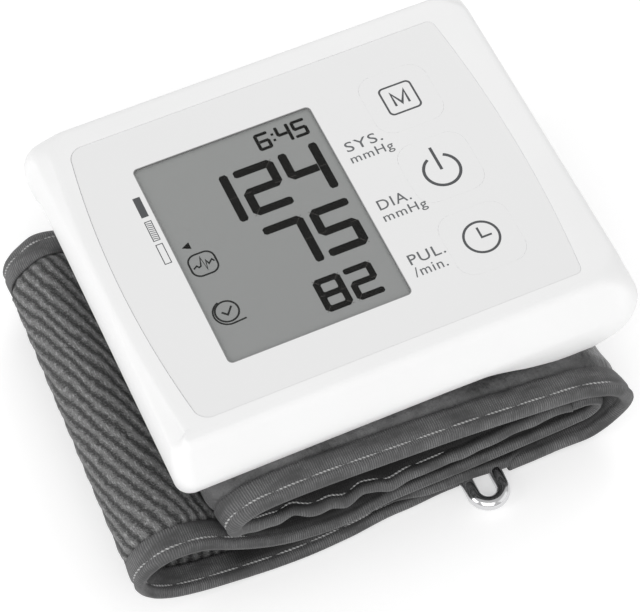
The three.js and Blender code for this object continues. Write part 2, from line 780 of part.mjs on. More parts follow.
// Circuit board, notched for the screw bosses and the pump
function circuitBoard() {
  const reachX = insideX - BOARD.margin;
  const reachY = insideY - BOARD.margin;
  const sheet = box([-reachX, reachX], [-reachY, reachY], [boardLow, boardTop]);
  const bossCuts = bossPlaces.map(([x, y]) =>
    rodZ(x, y, BOSS.radius + gap, boardLow - overrun, boardTop + overrun, round.coarse),
  );
  const cornerCuts = bossPlaces.map(([x, y]) =>
    box(
      [Math.min(x, Math.sign(x) * halfWidth), Math.max(x, Math.sign(x) * halfWidth)],
      [Math.min(y, Math.sign(y) * caseDepth), Math.max(y, Math.sign(y) * caseDepth)],
      [boardLow - overrun, boardTop + overrun],
    ),
  );
  const notch = box(
    around(pumpX, 2 * (pumpRadius + gap)),
    [-caseDepth, pumpFront + PUMP.head + PUMP.can + 2 * gap],
    [boardLow - overrun, boardTop + overrun],
  );
  return cut(sheet, ...bossCuts, ...cornerCuts, notch);
}

piece("circuit_board", circuitBoard(), MATERIAL.board);
piece(
  "control_chip",
  box(
    around(windowX - CHIP.fromWindow, CHIP.size),
    around(CHIP.y, CHIP.size),
    [boardLow - gap - CHIP.height, boardLow - gap],
  ),
  MATERIAL.dark,
);
piece(
  "buzzer",
  rodZ(buzzerX, BUZZER.y, BUZZER.radius, boardLow - gap - BUZZER.height, boardLow - gap),
  MATERIAL.dark,
);

// Pressure sensor under the board, its port pointing back towards the manifold
const sensorLow = boardLow - gap - SENSOR.height;
const sensorBack = SENSOR.y + SENSOR.size / 2;
const sensorPortZ = sensorLow + SENSOR.port;
piece(
  "pressure_sensor",
  join(
    box(around(manifoldX, SENSOR.size), around(SENSOR.y, SENSOR.size), [sensorLow, boardLow - gap]),
    rodY(
      manifoldX,
      sensorPortZ,
      SENSOR.port,
      sensorBack - gap,
      sensorBack + SENSOR.portLength,
      round.coarse,
    ),
  ),
  MATERIAL.dark,
);

// Pump: head in front, motor behind, and the crank between them
const pumpZ = floorTop + gap + pumpRadius;
const headBack = pumpFront + PUMP.head;
const canFront = headBack + gap;
const canBack = canFront + PUMP.can;
const cavity = CRANK.discThick + PIN.length + 2 * CRANK.clearance;
const discBack = headBack - CRANK.clearance;

function pumpHead() {
  const outer = box(
    around(pumpX, 2 * pumpRadius),
    [pumpFront, headBack],
    around(pumpZ, 2 * pumpRadius),
  );
  const chamber = rodY(
    pumpX,
    pumpZ,
    CRANK.disc + CRANK.clearance,
    headBack - cavity,
    headBack + overrun,
  );
  const stub = rodX(
    pumpFront + PUMP.head / 3,
    pumpZ,
    MANIFOLD.stub,
    pumpX - pumpRadius - MANIFOLD.stubLength,
    pumpX,
    round.coarse,
  );
  return cut(join(outer, stub), chamber);
}

piece("pump_head", pumpHead(), MATERIAL.nylon);
piece(
  "pump_motor",
  cut(
    rodY(pumpX, pumpZ, pumpRadius, canFront, canBack),
    rodY(pumpX, pumpZ, CRANK.shaft + gap, canFront - overrun, canFront + PUMP.can / 2, round.coarse),
  ),
  MATERIAL.steel,
);

function pumpCrank() {
  const shaft = rodY(
    pumpX,
    pumpZ,
    CRANK.shaft,
    discBack - CRANK.discThick / 2,
    canFront + PUMP.can / 3,
    round.coarse,
  );
  const disc = rodY(pumpX, pumpZ, CRANK.disc, discBack - CRANK.discThick, discBack);
  const pinFront = discBack - CRANK.discThick - PIN.length;
  const pin = rodY(
    pumpX + PIN.offset,
    pumpZ,
    PIN.radius,
    pinFront,
    discBack - CRANK.discThick / 2,
    round.coarse,
  );
  return join(disc, shaft, pin);
}

piece("pump_crank", pumpCrank(), MATERIAL.brass);

// Exhaust valve: a block with a plunger that slides along Y
const valveZ = floorTop + gap + VALVE.size / 2;
const valveBack = valveFront + VALVE.length;
piece(
  "exhaust_valve",
  cut(
    join(
      box(around(valveX, VALVE.size), [valveFront, valveBack], around(valveZ, VALVE.size)),
      rodY(valveX, valveZ, MANIFOLD.stub, valveBack - gap, valveBack + MANIFOLD.stubLength, round.coarse),
    ),
    rodY(
      valveX,
      valveZ,
      PLUNGER.radius + gap,
      valveFront - overrun,
      valveFront + PLUNGER.length + VALVE.travel + gap,
      round.coarse,
    ),
  ),
  MATERIAL.dark,
);
piece(
  "valve_plunger",
  rodY(
    valveX,
    valveZ,
    PLUNGER.radius,
    valveFront - VALVE.travel - gap,
    valveFront + PLUNGER.length,
    round.coarse,
  ),
  MATERIAL.brass,
);

// Air manifold on the floor, its nozzle going down into the cuff's bladder
const manifoldLow = floorTop + gap;
const manifoldTop = manifoldLow + MANIFOLD.height;
const stubZ = manifoldLow + MANIFOLD.height / 2;
const nozzleRoutePoint = sleeveRoute
  .getPoints(round.fine * round.coarse)
  .filter((p) => p.z > sleeveLevels[2] + CUFF.slack / 2)
  .reduce((a, b) => (Math.abs(b.x - manifoldX) < Math.abs(a.x - manifoldX) ? b : a));
const nozzleLow = nozzleRoutePoint.z + bladderHigh + 2 * gap;
const manifoldLeft = manifoldX - MANIFOLD.width / 2;
const manifoldRight = manifoldX + MANIFOLD.width / 2;
const manifoldFront = MANIFOLD.y - MANIFOLD.depth / 2;
piece(
  "air_manifold",
  join(
    box([manifoldLeft, manifoldRight], around(MANIFOLD.y, MANIFOLD.depth), [manifoldLow, manifoldTop]),
    rodZ(manifoldX, MANIFOLD.y, MANIFOLD.stub, nozzleLow, manifoldLow + gap, round.coarse),
    rodX(
      MANIFOLD.y,
      stubZ,
      MANIFOLD.stub,
      manifoldLeft - MANIFOLD.stubLength,
      manifoldLeft + gap,
      round.coarse,
    ),
    rodX(
      MANIFOLD.y,
      stubZ,
      MANIFOLD.stub,
      manifoldRight - gap,
      manifoldRight + MANIFOLD.stubLength,
      round.coarse,
    ),
    rodY(
      manifoldX,
      stubZ,
      MANIFOLD.stub,
      manifoldFront - MANIFOLD.stubLength,
      manifoldFront + gap,
      round.coarse,
    ),
  ),
  MATERIAL.nylon,
);

// A hose of round section along points
function hose(points, steps) {
  const section = [];
  for (let i = 0; i < HOSE.sides; i++) {
    const angle = (2 * Math.PI * i) / HOSE.sides;
    section.push(
      new THREE.Vector2(HOSE.radius * Math.cos(angle), HOSE.radius * Math.sin(angle)),
    );
  }
  const path = new THREE.CatmullRomCurve3(points, false, "centripetal");
  return new THREE.ExtrudeGeometry(new THREE.Shape(section), { steps, extrudePath: path });
}

const pumpStubTip = pumpX - pumpRadius - MANIFOLD.stubLength - gap;
const pumpStubY = pumpFront + PUMP.head / 3;
const manifoldRightTip = manifoldRight + MANIFOLD.stubLength + gap;
const manifoldLeftTip = manifoldLeft - MANIFOLD.stubLength - gap;
const manifoldFrontTip = manifoldFront - MANIFOLD.stubLength - gap;
const hoseRun = 2 * HOSE.radius;
piece(
  "pump_hose",
  hose(
    [
      at(pumpStubTip, pumpStubY, pumpZ),
      at(pumpStubTip - hoseRun / 2, pumpStubY, pumpZ),
      at(pumpStubTip - hoseRun, pumpStubY + hoseRun, (pumpZ + stubZ) / 2),
      at(pumpStubTip - hoseRun, (pumpStubY + MANIFOLD.y) / 2, stubZ),
      at(manifoldRightTip + hoseRun, MANIFOLD.y - hoseRun, stubZ),
      at(manifoldRightTip + hoseRun / 2, MANIFOLD.y, stubZ),
      at(manifoldRightTip, MANIFOLD.y, stubZ),
    ],
    round.fine,
  ),
  MATERIAL.rubber,
);
const valveTip = valveBack + MANIFOLD.stubLength + gap;
const sensorTip = sensorBack + SENSOR.portLength + gap;
piece(
  "valve_hose",
  hose(
    [
      at(valveX, valveTip, valveZ),
      at(valveX, valveTip + hoseRun / 2, valveZ),
      at(valveX, MANIFOLD.y - hoseRun, (valveZ + stubZ) / 2),
      at(manifoldLeftTip - hoseRun / 2, MANIFOLD.y, stubZ),
      at(manifoldLeftTip, MANIFOLD.y, stubZ),
    ],
    round.coarse,
  ),
  MATERIAL.rubber,
);
piece(
  "sensor_hose",
  hose(
    [
      at(manifoldX, manifoldFrontTip, stubZ),
      at(manifoldX, manifoldFrontTip - hoseRun / 2, stubZ),
      at(manifoldX, sensorTip + hoseRun / 2, sensorPortZ),
      at(manifoldX, sensorTip, sensorPortZ),
    ],
    round.coarse,
  ),
  MATERIAL.rubber,
);

// Cells, contacts and the battery door
cellX.forEach((x, i) => {
  const side = i === 0 ? -1 : 1;
  const middle = side * cellShift;
  const can = [middle - CELL.length / 2, middle + CELL.length / 2];
  const nubY = side < 0 ? [can[0], can[0] + CELL.nubLength] : [can[1] - CELL.nubLength, can[1]];
  const body = side < 0 ? [can[0] + CELL.nubLength, can[1]] : [can[0], can[1] - CELL.nubLength];
  piece(
    `battery_${i + 1}`,
    join(
      rodY(x, cellZ, CELL.radius, body[0], body[1]),
      rodY(
        x,
        cellZ,
        CELL.nub,
        nubY[0] - (side > 0 ? gap : 0),
        nubY[1] + (side < 0 ? gap : 0),
        round.coarse,
      ),
    ),
    MATERIAL.cell,
  );
});

const contactY = (side) => around(side * (contactInner + CONTACT.thick / 2), CONTACT.thick);
const contactZ = around(cellZ, CONTACT.height);

function contactPlate(side, x0, x1, bumpX) {
  const sheet = box([x0, x1], contactY(side), contactZ);
  const near = side * (contactInner - CONTACT.bump);
  const far = side * (contactInner + CONTACT.thick / 2);
  const bump = rodY(
    bumpX,
    cellZ,
    CELL.nub,
    Math.min(near, far),
    Math.max(near, far),
    round.coarse,
  );
  return join(sheet, bump);
}

// Conical contact spring, wide at its plate
function contactSpring(x, side) {
  const low = CELL.length / 2 - cellShift + gap + SPRING.wire;
  const high = contactInner - gap - SPRING.wire;
  const steps = SPRING.coils * SPRING.coilSteps;
  const points = [];
  for (let i = 0; i <= steps; i++) {
    const share = i / steps;
    const angle = 2 * Math.PI * SPRING.coils * share;
    const radius = SPRING.wideCoil * (1 - share / 2);
    const y = side * THREE.MathUtils.lerp(high, low, share);
    points.push(at(x + radius * Math.cos(angle), y, cellZ + radius * Math.sin(angle)));
  }
  const section = [];
  for (let i = 0; i < SPRING.sides; i++) {
    const angle = (2 * Math.PI * i) / SPRING.sides;
    section.push(
      new THREE.Vector2(SPRING.wire * Math.cos(angle), SPRING.wire * Math.sin(angle)),
    );
  }
  const path = new THREE.CatmullRomCurve3(points, false, "centripetal");
  return new THREE.ExtrudeGeometry(new THREE.Shape(section), { steps, extrudePath: path });
}

const halfContact = CONTACT.width / 2;
piece(
  "positive_contact",
  contactPlate(-1, cellX[0] - halfContact, cellX[0] + halfContact, cellX[0]),
  MATERIAL.steel,
);
piece(
  "negative_contact",
  box([cellX[1] - halfContact, cellX[1] + halfContact], contactY(-1), contactZ),
  MATERIAL.steel,
);
piece(
  "bridge_contact",
  contactPlate(1, cellX[0] - halfContact, cellX[1] + halfContact, cellX[1]),
  MATERIAL.steel,
);
piece("contact_spring_1", contactSpring(cellX[0], 1), MATERIAL.steel);
piece("contact_spring_2", contactSpring(cellX[1], -1), MATERIAL.steel);

function batteryDoor() {
  const reach = doorHalf - gap;
  const panel = overlap(
    caseBlock(),
    box([insideX, CASE.width], [-reach, reach], [bayLow, doorTop]),
  );
  const flange = box([doorInner + gap, insideX + gap], [-reach, reach], [bayLow, bayLow + FLOOR.thick]);
  const runnerLow = bayLow + FLOOR.thick + 2 * gap;
  const runnerY = reach - DOOR.runnerWidth / 2 - gap;
  const runners = [-1, 1].map((side) =>
    box(
      [insideX - DOOR.runner, insideX + gap],
      around(side * runnerY, DOOR.runnerWidth),
      [runnerLow, runnerLow + DOOR.runnerHeight],
    ),
  );
  return join(panel, flange, ...runners);
}

piece("battery_door", batteryDoor(), MATERIAL.shell);

// Base plate that carries the cuff, and the screws that hold it from inside the case
const plateTop = plateLow + PLATE.thick;
const shankTop = floorTop + gap;
function cuffPlate() {
  const sheet = plate(
    roundedOutline(plateRight - plateLeft, PLATE.depth, PLATE.corner),
    plateX,
    CUFF.middleY,
    plateLow,
    plateTop,
  );
  const bores = plateScrewPlaces.map(([x, y]) =>
    rodZ(x, y, SCREW.shank / 2 + gap, plateLow - overrun, plateTop + overrun, round.coarse),
  );
  const nozzle = rodZ(
    manifoldX,
    MANIFOLD.y,
    MANIFOLD.stub + gap,
    plateLow - overrun,
    plateTop + overrun,
    round.coarse,
  );
  return cut(sheet, ...bores, nozzle);
}

piece("cuff_plate", cuffPlate(), MATERIAL.dark);
plateScrewPlaces.forEach(([x, y], i) => {
  const head = rodZ(x, y, SCREW.head / 2, shankTop, shankTop + SCREW.headHeight, round.coarse);
  const shank = rodZ(x, y, SCREW.shank / 2, plateLow + gap, shankTop + gap, round.coarse);
  const slot = box(
    around(x, SCREW.head + overrun),
    around(y, SCREW.slot),
    [shankTop + SCREW.headHeight - SCREW.slotDepth, shankTop + SCREW.headHeight + overrun],
  );
  piece(`plate_screw_${i + 1}`, cut(join(head, shank), slot), MATERIAL.steel);
});

// Sleeve: outer cloth, curler sheet, bladder and lining, bound along both edges
const innerShares = { curler: [0.05, 0.97], bladder: [0.08, 0.95] };
const nozzleHole = rodZ(
  manifoldX,
  MANIFOLD.y,
  MANIFOLD.stub + gap,
  nozzleLow - gap,
  rollHeight + overrun,
  round.coarse,
);
piece("cuff_cover", cut(band(sleeveStations, sleeveCloth(1)), nozzleHole), MATERIAL.cuffCloth);
piece("cuff_lining", band(sleeveStations, sleeveCloth(-1)), MATERIAL.cuffCloth);
piece(
  "curler_sheet",
  cut(
    band(
      stationsOf(sleeveRoute, SLEEVE.thick / 2, ...innerShares.curler),
      flatSection(curlerLow, curlerHigh, pocketFront, pocketBack),
    ),
    nozzleHole,
  ),
  MATERIAL.nylon,
);
piece(
  "air_bladder",
  band(
    stationsOf(sleeveRoute, SLEEVE.thick / 2, ...innerShares.bladder),
    flatSection(bladderLow, bladderHigh, pocketFront, pocketBack),
  ),
  MATERIAL.bladder,
);
const sleeveEdge = 2 * SLEEVE.fabric + gap;
piece(
  "sleeve_front_binding",
  band(sleeveStations, tapeSection(sleeveEdge, cuffFront, 1)),
  MATERIAL.tape,
);
piece(
  "sleeve_back_binding",
  band(sleeveStations, tapeSection(sleeveEdge, cuffBack, -1)),
  MATERIAL.tape,
);

// Strap with its own binding
piece("strap", band(strapStations, strapSection()), MATERIAL.loopCloth);
piece(
  "strap_front_binding",
  band(strapStations, tapeSection(STRAP.tongue, cuffFront, 1)),
  MATERIAL.tape,
);
piece(
  "strap_back_binding",
  band(strapStations, tapeSection(STRAP.tongue, cuffBack, -1)),
  MATERIAL.tape,
);

// Wire ring, flat beside the floor, longer than the cuff is wide, between the band's two ends
const sleeveEnd = sleeveShares[0][0] * halfWidth;
const strapEnd = strapShares[strapShares.length - 1][0] * halfWidth;
const ringX = (sleeveEnd + strapEnd) / 2;
const webRadius = RING.wire / 2 + gap + WEBBING.thick / 2;
const ringZ = WEBBING.thick / 2 + webRadius;
const ringFront = cuffFront - RING.proud;
const ringBack = cuffBack + RING.proud;
function wireRing() {
  const halfPitch = RING.pitch / 2;
  const bend = Math.min(RING.bend, halfPitch);
  const centres = [
    [1, ringBack - RING.wire / 2],
    [-1, ringBack - RING.wire / 2],
    [-1, ringFront + RING.wire / 2],
    [1, ringFront + RING.wire / 2],
  ];
  const steps = round.corner;
  const rings = [];
  centres.forEach(([sideX, y], corner) => {
    const inwards = corner < 2 ? -1 : 1;
    const centreX = ringX + sideX * (halfPitch - bend);
    const centreY = y + inwards * bend;
    for (let i = 0; i <= steps; i++) {
      const angle = ((corner + i / steps) * Math.PI) / 2;
      const along = new THREE.Vector3(Math.cos(angle), Math.sin(angle), 0);
      const centre = at(centreX, centreY, ringZ).addScaledVector(along, bend);
      const section = [];
      for (let side = 0; side < HOSE.sides; side++) {
        const turn = (2 * Math.PI * side) / HOSE.sides;
        const point = centre.clone().addScaledVector(along, (RING.wire / 2) * Math.cos(turn));
        point.z += (RING.wire / 2) * Math.sin(turn);
        section.push(point);
      }
      rings.push(section);
    }
  });
  return closedTube(rings);
}

// A tube whose last ring of points joins its first
function closedTube(rings) {
  const count = rings[0].length;
  const total = rings.length;
  const faces = [];
  for (let ring = 0; ring < total; ring++) {
    for (let i = 0; i < count; i++) {
      const a = ring * count + i;
      const b = ring * count + ((i + 1) % count);
      const c = ((ring + 1) % total) * count + i;
      const d = ((ring + 1) % total) * count + ((i + 1) % count);
      faces.push(a, c, b, b, c, d);
    }
  }
  const geometry = new THREE.BufferGeometry();
  geometry.setFromPoints(rings.flat());
  geometry.setIndex(faces);
  return geometry;
}

piece("wire_ring", wireRing(), MATERIAL.chrome);

// Webbing round a limb of the ring: one leg meets the band's end, the other lies on the band.
// away is 1 when the band lies to the right of the limb.
function webbingLoop(limbX, away, bandEnd, bandThick) {
  const half = WEBBING.thick / 2;
  const lowZ = ringZ - webRadius;
  const tailZ = bandThick + gap + half;
  const middle = [new THREE.Vector2(bandEnd - away * gap, lowZ)];
  const steps = round.coarse;
  for (let i = 0; i <= steps; i++) {
    const angle = -Math.PI / 2 - (away * Math.PI * i) / steps;
    middle.push(
      new THREE.Vector2(limbX + webRadius * Math.cos(angle), ringZ + webRadius * Math.sin(angle)),
    );
  }
  middle.push(new THREE.Vector2(bandEnd - away * gap, tailZ));
  middle.push(new THREE.Vector2(bandEnd + away * WEBBING.tail, tailZ));
  const stations = middle.map((p, i) => {
    const before = middle[Math.max(i - 1, 0)];
    const after = middle[Math.min(i + 1, middle.length - 1)];
    const tangent = after.clone().sub(before).normalize();
    return { point: at(p.x, 0, p.y), normal: at(tangent.y, 0, -tangent.x) };
  });
  const front = cuffFront + WEBBING.inset;
  const back = cuffBack - WEBBING.inset;
  return band(stations, flatSection(-half, half, front, back));
}

piece(
  "ring_tab",
  webbingLoop(ringX + RING.pitch / 2, 1, sleeveEnd, SLEEVE.thick),
  MATERIAL.tape,
);
piece(
  "hook_tab",
  webbingLoop(ringX - RING.pitch / 2, -1, strapEnd, STRAP.thick),
  MATERIAL.tape,
);

export default root;
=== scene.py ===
"""Looks of a wrist blood pressure monitor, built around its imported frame.

Metres, +Z up, X to the right of the display, Y to its far side.
"""

import json
import logging
import math
from bisect import bisect_right
from contextlib import contextmanager
from dataclasses import dataclass
from enum import Enum
from typing import Callable, ClassVar, Iterator, Sequence

import bpy
from mathutils import Matrix, Vector, noise


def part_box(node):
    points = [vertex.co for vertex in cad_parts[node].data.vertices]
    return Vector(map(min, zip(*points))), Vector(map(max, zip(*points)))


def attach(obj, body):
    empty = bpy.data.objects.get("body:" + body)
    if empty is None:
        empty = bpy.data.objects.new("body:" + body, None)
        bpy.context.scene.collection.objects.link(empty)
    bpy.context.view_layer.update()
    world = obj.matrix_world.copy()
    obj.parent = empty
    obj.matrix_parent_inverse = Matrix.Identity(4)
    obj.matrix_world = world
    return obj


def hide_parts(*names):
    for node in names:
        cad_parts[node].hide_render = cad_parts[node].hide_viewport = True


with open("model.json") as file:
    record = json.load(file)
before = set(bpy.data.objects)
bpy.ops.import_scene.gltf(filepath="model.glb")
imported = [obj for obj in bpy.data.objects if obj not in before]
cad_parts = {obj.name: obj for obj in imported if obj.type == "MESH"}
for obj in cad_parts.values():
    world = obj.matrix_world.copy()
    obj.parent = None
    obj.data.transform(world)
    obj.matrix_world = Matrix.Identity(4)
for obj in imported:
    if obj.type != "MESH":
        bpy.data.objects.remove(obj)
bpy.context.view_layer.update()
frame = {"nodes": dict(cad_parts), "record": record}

log = logging.getLogger("wrist_monitor")
MM = 0.001
FULL_TURN = 2 * math.pi

Point = tuple[float, float]
Place = tuple[float, float, float]
Colour = tuple[float, float, float]
Outlines = Sequence[Sequence[Point]]
Offset = Callable[[float, float], float]
Piece = bpy.types.Object
Socket = bpy.types.NodeSocket
Material = bpy.types.Material


class Body(Enum):
    """The bodies that the pieces ride on."""

    HOUSING = "housing"
    MEMORY = "memory_button"
    POWER = "power_button"
    CLOCK = "clock_button"
    DOOR = "door"


class Space(Enum):
    """Where a pattern takes its place from."""

    OBJECT = "Object"
    UV = "UV"


class Shader:
    """A node material being put together around one Principled surface."""

    def __init__(self, name: str, colour: Colour, roughness: float, metallic: float = 0.0) -> None:
        """Starts a material with its plain values.

        Args:
            name: the material's name.
            colour: base colour.
            roughness: from 0 to 1.
            metallic: 1 for bare metal.
        """
        self.material = bpy.data.materials.new(name)
        self.material.use_nodes = True
        self.nodes = self.material.node_tree.nodes
        self.links = self.material.node_tree.links
        self.surface = self.nodes["Principled BSDF"]
        self.put("Base Color", (*colour, 1.0))
        self.put("Roughness", roughness)
        self.put("Metallic", metallic)

    def fill(self, socket: Socket, value: object) -> None:
        """Links a pattern into a socket, or sets its plain value.

        Args:
            socket: the input.
            value: another node's socket, or a plain value.
        """
        if isinstance(value, Socket):
            self.links.new(value, socket)
        else:
            socket.default_value = value

    def put(self, name: str, value: object) -> None:
        """Fills one of the surface's inputs."""
        self.fill(self.surface.inputs[name], value)

    def place(self, space: Space, scale: Sequence[float], turn: float = 0.0) -> Socket:
        """Coordinates for a pattern.

        Args:
            space: what the pattern is tied to.
            scale: repeats per metre along each axis.
            turn: angle about Z, in radians.

        Returns:
            The socket with the scaled coordinates.
        """
        source = self.nodes.new("ShaderNodeTexCoord")
        mapping = self.nodes.new("ShaderNodeMapping")
        mapping.vector_type = "TEXTURE"
        mapping.inputs["Scale"].default_value = [1 / value for value in scale]
        mapping.inputs["Rotation"].default_value = (0.0, 0.0, turn)
        self.links.new(source.outputs[space.value], mapping.inputs["Vector"])
        return mapping.outputs["Vector"]

    def noise(
        self,
        space: Space,
        scale: Sequence[float],
        detail: float = 3.0,
        roughness: float = 0.55,
        turn: float = 0.0,
    ) -> Socket:
        """A noise pattern.

        Args:
            space: what the pattern is tied to.
            scale: repeats per metre along each axis.
            detail: how many finer layers it has.
            roughness: weight of the finer layers.
            turn: angle about Z, in radians.

        Returns:
            A value from 0 to 1.
        """
        vector = self.place(space, scale, turn)
        pattern = self.nodes.new("ShaderNodeTexNoise")
        pattern.inputs["Scale"].default_value = 1.0
        pattern.inputs["Detail"].default_value = detail
        pattern.inputs["Roughness"].default_value = roughness
        self.links.new(vector, pattern.inputs["Vector"])
        return pattern.outputs[0]

    def attribute(self, name: str) -> Socket:
        """A value that the mesh carries at each vertex.

        Args:
            name: the attribute's name.

        Returns:
            The value's socket.
        """
        node = self.nodes.new("ShaderNodeAttribute")
        node.attribute_name = name
        return node.outputs["Fac"]

    def axis(self, vector: Socket, name: str) -> Socket:
        """One axis of a vector.

        Args:
            vector: the vector.
            name: X, Y or Z.

        Returns:
            The number along that axis.
        """
        split = self.nodes.new("ShaderNodeSeparateXYZ")
        self.links.new(vector, split.inputs[0])
        return split.outputs[name]

    def maths(self, operation: str, first: object, second: object = 0.0) -> Socket:
        """A sum of two sockets or numbers.

        Args:
            operation: the kind of sum.
            first: its first term.
            second: its second term.

        Returns:
            The result.
        """
        node = self.nodes.new("ShaderNodeMath")
        node.operation = operation
        for value, socket in zip((first, second), node.inputs):
            self.fill(socket, value)
        return node.outputs[0]

    def spread(self, value: Socket, start: Point, end: Point = (0.0, 1.0)) -> Socket:
        """Maps a value from the range start to the range end, held at both ends.

        Args:
            value: the value.
            start: the range that it comes from.
            end: the range that it is laid over.

        Returns:
            The mapped value.
        """
        node = self.nodes.new("ShaderNodeMapRange")
        for socket, number in zip(("From Min", "From Max", "To Min", "To Max"), (*start, *end)):
            node.inputs[socket].default_value = number
        self.links.new(value, node.inputs["Value"])
        return node.outputs["Result"]

    def mix(self, share: Socket, first: object, second: object) -> Socket:
        """A colour between two colours or sockets.

        Args:
            share: how much of the second shows.
            first: a colour or socket.
            second: a colour or socket.

        Returns:
            The mixed colour.
        """
        node = self.nodes.new("ShaderNodeMix")
        node.data_type = "RGBA"
        self.links.new(share, node.inputs[0])
        for value, socket in ((first, node.inputs[6]), (second, node.inputs[7])):
            self.fill(socket, value if isinstance(value, Socket) else (*value, 1.0))
        return node.outputs[2]

    def bump(self, height: Socket, depth: float, under: Socket | None = None) -> Socket:
        """A normal bumped by a height pattern.

        Args:
            height: the pattern.
            depth: its full height in metres.
            under: a normal that it comes on top of.

        Returns:
            The normal.
        """
        node = self.nodes.new("ShaderNodeBump")
        node.inputs["Distance"].default_value = depth
        self.links.new(height, node.inputs["Height"])
        if under is not None:
            self.links.new(under, node.inputs["Normal"])
        return node.outputs["Normal"]


MADE: dict[str, Material] = {}


@dataclass(frozen=True)
class Finish:
    """A surface finish: plain plastic, with a fine grain and a trace of unevenness."""

    name: str
    colour: Colour
    roughness: float
    grain: float = 0.006 * MM
    uneven: float = 0.02
    metallic: float = 0.0
    shine: float = 0.5

    def material(self) -> Material:
        """The finish's material, made at its first use.

        Returns:
            The material.
        """
        if self.name not in MADE:
            shader = Shader(self.name, self.colour, self.roughness, self.metallic)
            self.pattern(shader)
            MADE[self.name] = shader.material
        return MADE[self.name]

    def tone(self, factor: float) -> Colour:
        """The finish's colour made lighter or darker."""
        return tuple(min(1.0, channel * factor) for channel in self.colour)

    def pattern(self, shader: Shader) -> None:
        """Uneven colour and sheen.

        Args:
            shader: the material.
        """
        shader.put("Specular IOR Level", self.shine)
        broad = shader.noise(Space.OBJECT, (60, 60, 60), 2.0)
        fine = shader.noise(Space.OBJECT, (3200, 3200, 3200), 2.0)
        dark, light = self.tone(1 - self.uneven), self.tone(1 + self.uneven)
        shader.put("Base Color", shader.mix(broad, dark, light))
        rough = shader.spread(fine, (0.3, 0.7), (self.roughness * 0.9, self.roughness * 1.1))
        shader.put("Roughness", rough)
        shader.put("Normal", shader.bump(fine, self.grain))


@dataclass(frozen=True)
class Metal(Finish):
    """Metal with fine lines drawn along Y."""

    metallic: float = 1.0

    def pattern(self, shader: Shader) -> None:
        """Drawn lines under dull patches.

        Args:
            shader: the material.
        """
        drawn = shader.noise(Space.OBJECT, (9000, 260, 9000), 3.0)
        dull = shader.noise(Space.OBJECT, (420, 420, 420), 3.0)
        shader.put("Base Color", shader.mix(dull, self.tone(0.93), self.colour))
        rough = shader.spread(drawn, (0.3, 0.75), (self.roughness * 0.7, self.roughness * 1.5))
        shader.put("Roughness", rough)
        shader.put("Normal", shader.bump(drawn, self.grain))


@dataclass(frozen=True)
class ClearFilm(Finish):
    """A clear window that lets most of what lies behind it show."""

    cover: float = 0.1

    def pattern(self, shader: Shader) -> None:
        """A thin cover with a slightly wavy surface.

        Args:
            shader: the material.
        """
        shader.put("Alpha", self.cover)
        shader.put("Specular IOR Level", self.shine)
        wavy = shader.noise(Space.OBJECT, (90, 90, 90), 1.0)
        shader.put("Normal", shader.bump(wavy, self.grain))
        shader.material.surface_render_method = "BLENDED"


@dataclass(frozen=True)
class Crystal(Finish):
    """A reflective display: a fine grain, with painted shade that darkens it slowly towards the
    front.
    """

    painted_front_shade: Colour = (0.24, 0.24, 0.24)

    def pattern(self, shader: Shader) -> None:
        """Painted shade that darkens the display towards the front, with a fine speckle.

        Args:
            shader: the material.
        """
        along = shader.axis(shader.place(Space.OBJECT, (1, 1, 1)), "Y")
        # Painted shade: the display grows darker from the rear towards the front edge.
        share = shader.spread(along, (-24 * MM, 21 * MM), (1.0, 0.0))
        cells = shader.noise(Space.OBJECT, (5200, 5200, 5200), 1.0)
        tone = shader.mix(share, self.colour, self.painted_front_shade)
        speckle = shader.spread(cells, (0.35, 0.65), (0.0, 0.06))
        shader.put("Base Color", shader.mix(speckle, tone, (0.5, 0.5, 0.5)))
        shader.put("Normal", shader.bump(cells, self.grain))


@dataclass(frozen=True)
class PlainWeave(Finish):
    """Smooth woven nylon: threads in both directions, with soft creases."""

    threads: float = 3400.0

    def pattern(self, shader: Shader) -> None:
        """Crossing threads over soft creases.

        Args:
            shader: the material.
        """
        shader.put("Sheen Weight", 0.2)
        shader.put("Sheen Roughness", 0.4)
        repeats = self.threads * FULL_TURN
        weave = shader.place(Space.UV, (repeats, repeats, 1))
        warp = shader.maths("SINE", shader.axis(weave, "X"))
        weft = shader.maths("SINE", shader.axis(weave, "Y"))
        cloth = shader.maths("MULTIPLY", warp, weft)
        soft = shader.noise(Space.UV, (130, 210, 1), 5.0, 0.6)
        crease = shader.noise(Space.UV, (420, 260, 1), 4.0, 0.62)
        tone = shader.spread(soft, (0.34, 0.66))
        shader.put("Base Color", shader.mix(tone, self.tone(0.55), self.tone(1.8)))
        folds = shader.bump(crease, 0.9 * MM)
        shader.put("Normal", shader.bump(cloth, self.grain, folds))


